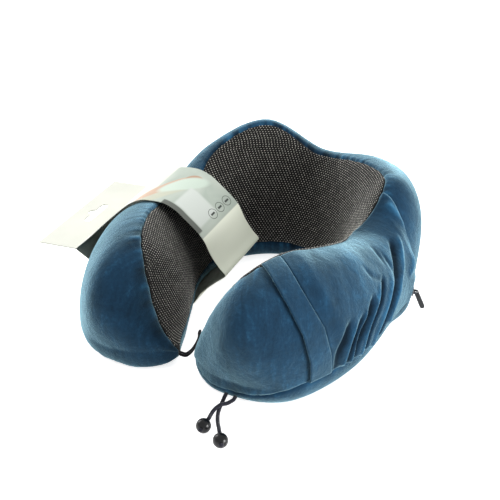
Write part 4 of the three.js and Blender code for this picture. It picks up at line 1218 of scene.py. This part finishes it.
def slotCutter(c, middle, height, material):
    # the hanging slot: a long round-ended hole with a bump at its middle
    half, end, bump, deep = c["slotLength"] / 2, c["slotWidth"] / 2, c["slotBump"], 12
    rim = [(-s * end * math.cos(t), s * (half - end + end * math.sin(t)))
           for s in (1, -1) for t in np.linspace(0, math.pi, 16)]
    rim += [(-end - bump * math.cos(t), bump * math.sin(t))
            for t in np.linspace(-math.pi / 2, math.pi / 2, 14)]
    n = len(rim)
    verts = [(x + middle, y, height + z) for z in (-deep, deep) for x, y in rim]
    faces = [list(range(n))[::-1], [n + k for k in range(n)]]
    faces += [[k, (k + 1) % n, n + (k + 1) % n, n + k] for k in range(n)]
    turn = Matrix.Rotation(math.radians(c["twist"]), 4, "Z")
    shift = Vector((c["centre"][0], c["centre"][1] - form["originRadius"], 0))
    mesh = bpy.data.meshes.new("slotCutter")
    mesh.from_pydata([(turn @ Vector(p) + shift) * mm for p in verts], [], faces)
    reworked(mesh, facedOut)
    mesh.materials.append(material)
    return newObject("slotCutter", mesh)


def settled(piece):
    # the piece's modifier made real, and its folded edges sharp
    mesh = bpy.data.meshes.new_from_object(piece.evaluated_get(bpy.context.evaluated_depsgraph_get()))
    piece.modifiers.clear()
    piece.data = mesh
    mesh.set_sharp_from_angle(angle=math.radians(50))


def cardPiece(c):
    line = cardLine(c)
    run = runAlong(line[:, :2])
    across = np.linspace(-1, 1, c["columns"])
    x, y, up = np.broadcast_arrays(line[:, :1], line[:, 2:3] * across, line[:, 1:2])
    # the sheet bows a little, but not at its header or where it lies on the ground
    inner = np.minimum(run, run[-1] - run)[:, None] > c["bowFrom"]
    up = up + softRelief(run[:, None], y, *c["bow"]) * inner * (line[:, 1:2] > c["bowAbove"])
    angle = math.radians(c["twist"])
    shiftX, shiftY = c["centre"][0], c["centre"][1] - form["originRadius"]
    points = np.stack([x * math.cos(angle) - y * math.sin(angle) + shiftX,
                       x * math.sin(angle) + y * math.cos(angle) + shiftY, up], axis=-1)
    uv = np.stack(np.broadcast_arrays(run[:, None], y), axis=-1)
    front = cardMaterial(cardPaint, run[np.argmax(line[:, 1])] * mm)
    piece = gridObject("card_sleeve_print", (points, uv), front)
    piece.data.materials.append(cardBackMaterial(cardPaint))
    wall = piece.modifiers.new("thickness", "SOLIDIFY")
    wall.thickness, wall.offset, wall.material_offset = c["thickness"] * mm * 0.9, 0, 1
    settled(piece)
    cutter = slotCutter(c, (line[0][0] + cardReach(c, c["headerFold"])) / 2, line[0][1], front)
    cut = piece.modifiers.new("slot", "BOOLEAN")
    cut.operation, cut.object, cut.solver = "DIFFERENCE", cutter, "EXACT"
    settled(piece)
    bpy.data.objects.remove(cutter)
    return piece


sleeve = cardPiece(card)
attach(sleeve, "pillow")
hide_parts("card_sleeve")
print("card made")


# floor, world and lamps
# the floor's half width and height in metres, the light that it gives and how bright it is seen
stage = {"size": 6, "height": -0.0004, "given": 0.26, "seen": 0.8}


def layStage(s):
    f = Finish("floorPaint")
    glow = f.scaled(f.seen(), 0, 1, s["given"], s["seen"])
    paint = f.surface(Base_Color=(0.8, 0.8, 0.8, 1), Roughness=0.9, Specular_IOR_Level=0.0,
                      Emission_Color=(1, 1, 1, 1), Emission_Strength=glow)
    mesh = bpy.data.meshes.new("floor")
    corners = ((-1, -1), (1, -1), (1, 1), (-1, 1))
    mesh.from_pydata([(x * s["size"], y * s["size"], s["height"]) for x, y in corners], [], [(0, 1, 2, 3)])
    mesh.materials.append(paint)
    newObject("floor", mesh)


room = {"sweep": (-0.48, 0.81, 0.34), "facingAway": -0.7, "front": 0.13, "back": 2.35}


def lightRoom(r):
    world = bpy.data.worlds.new("studio")
    bpy.context.scene.world = world
    f = Nodes(world)
    # the white sweep behind the pillow gives more light than the room in front of it
    where = f.add("TexCoord").outputs["Generated"]
    facing = f.add("VectorMath", {0: where, 1: r["sweep"]}, operation="DOT_PRODUCT").outputs["Value"]
    glow = f.scaled(facing, r["facingAway"], 1, r["front"], r["back"])
    strength = f.add("Mix", {0: f.seen(), 2: glow, 3: 1.0})
    sky = f.add("Background", {"Color": (1, 1, 1, 1), "Strength": strength})
    f.add("OutputWorld", {"Surface": sky})


lamps = {"leftLamp": {"place": (-1.3, 0.15, 0.7), "size": 0.8, "power": 18},
         "sideLamp": {"place": (1.2, -0.2, 0.14), "size": 0.7, "power": 24}}


def softLamp(name, place, size, power, target=(0, -0.1, 0.05)):
    data = bpy.data.lights.new(name, "AREA")
    data.size, data.energy, data.shape = size, power, "DISK"
    lamp = newObject(name, data)
    lamp.location = place
    lamp.rotation_mode = "QUATERNION"
    lamp.rotation_quaternion = (Vector(target) - Vector(place)).to_track_quat("-Z", "Y")


layStage(stage)
lightRoom(room)
for name, lamp in lamps.items():
    softLamp(name, **lamp)
print("stage made")
bpy.context.scene.view_settings.view_transform = "Standard"
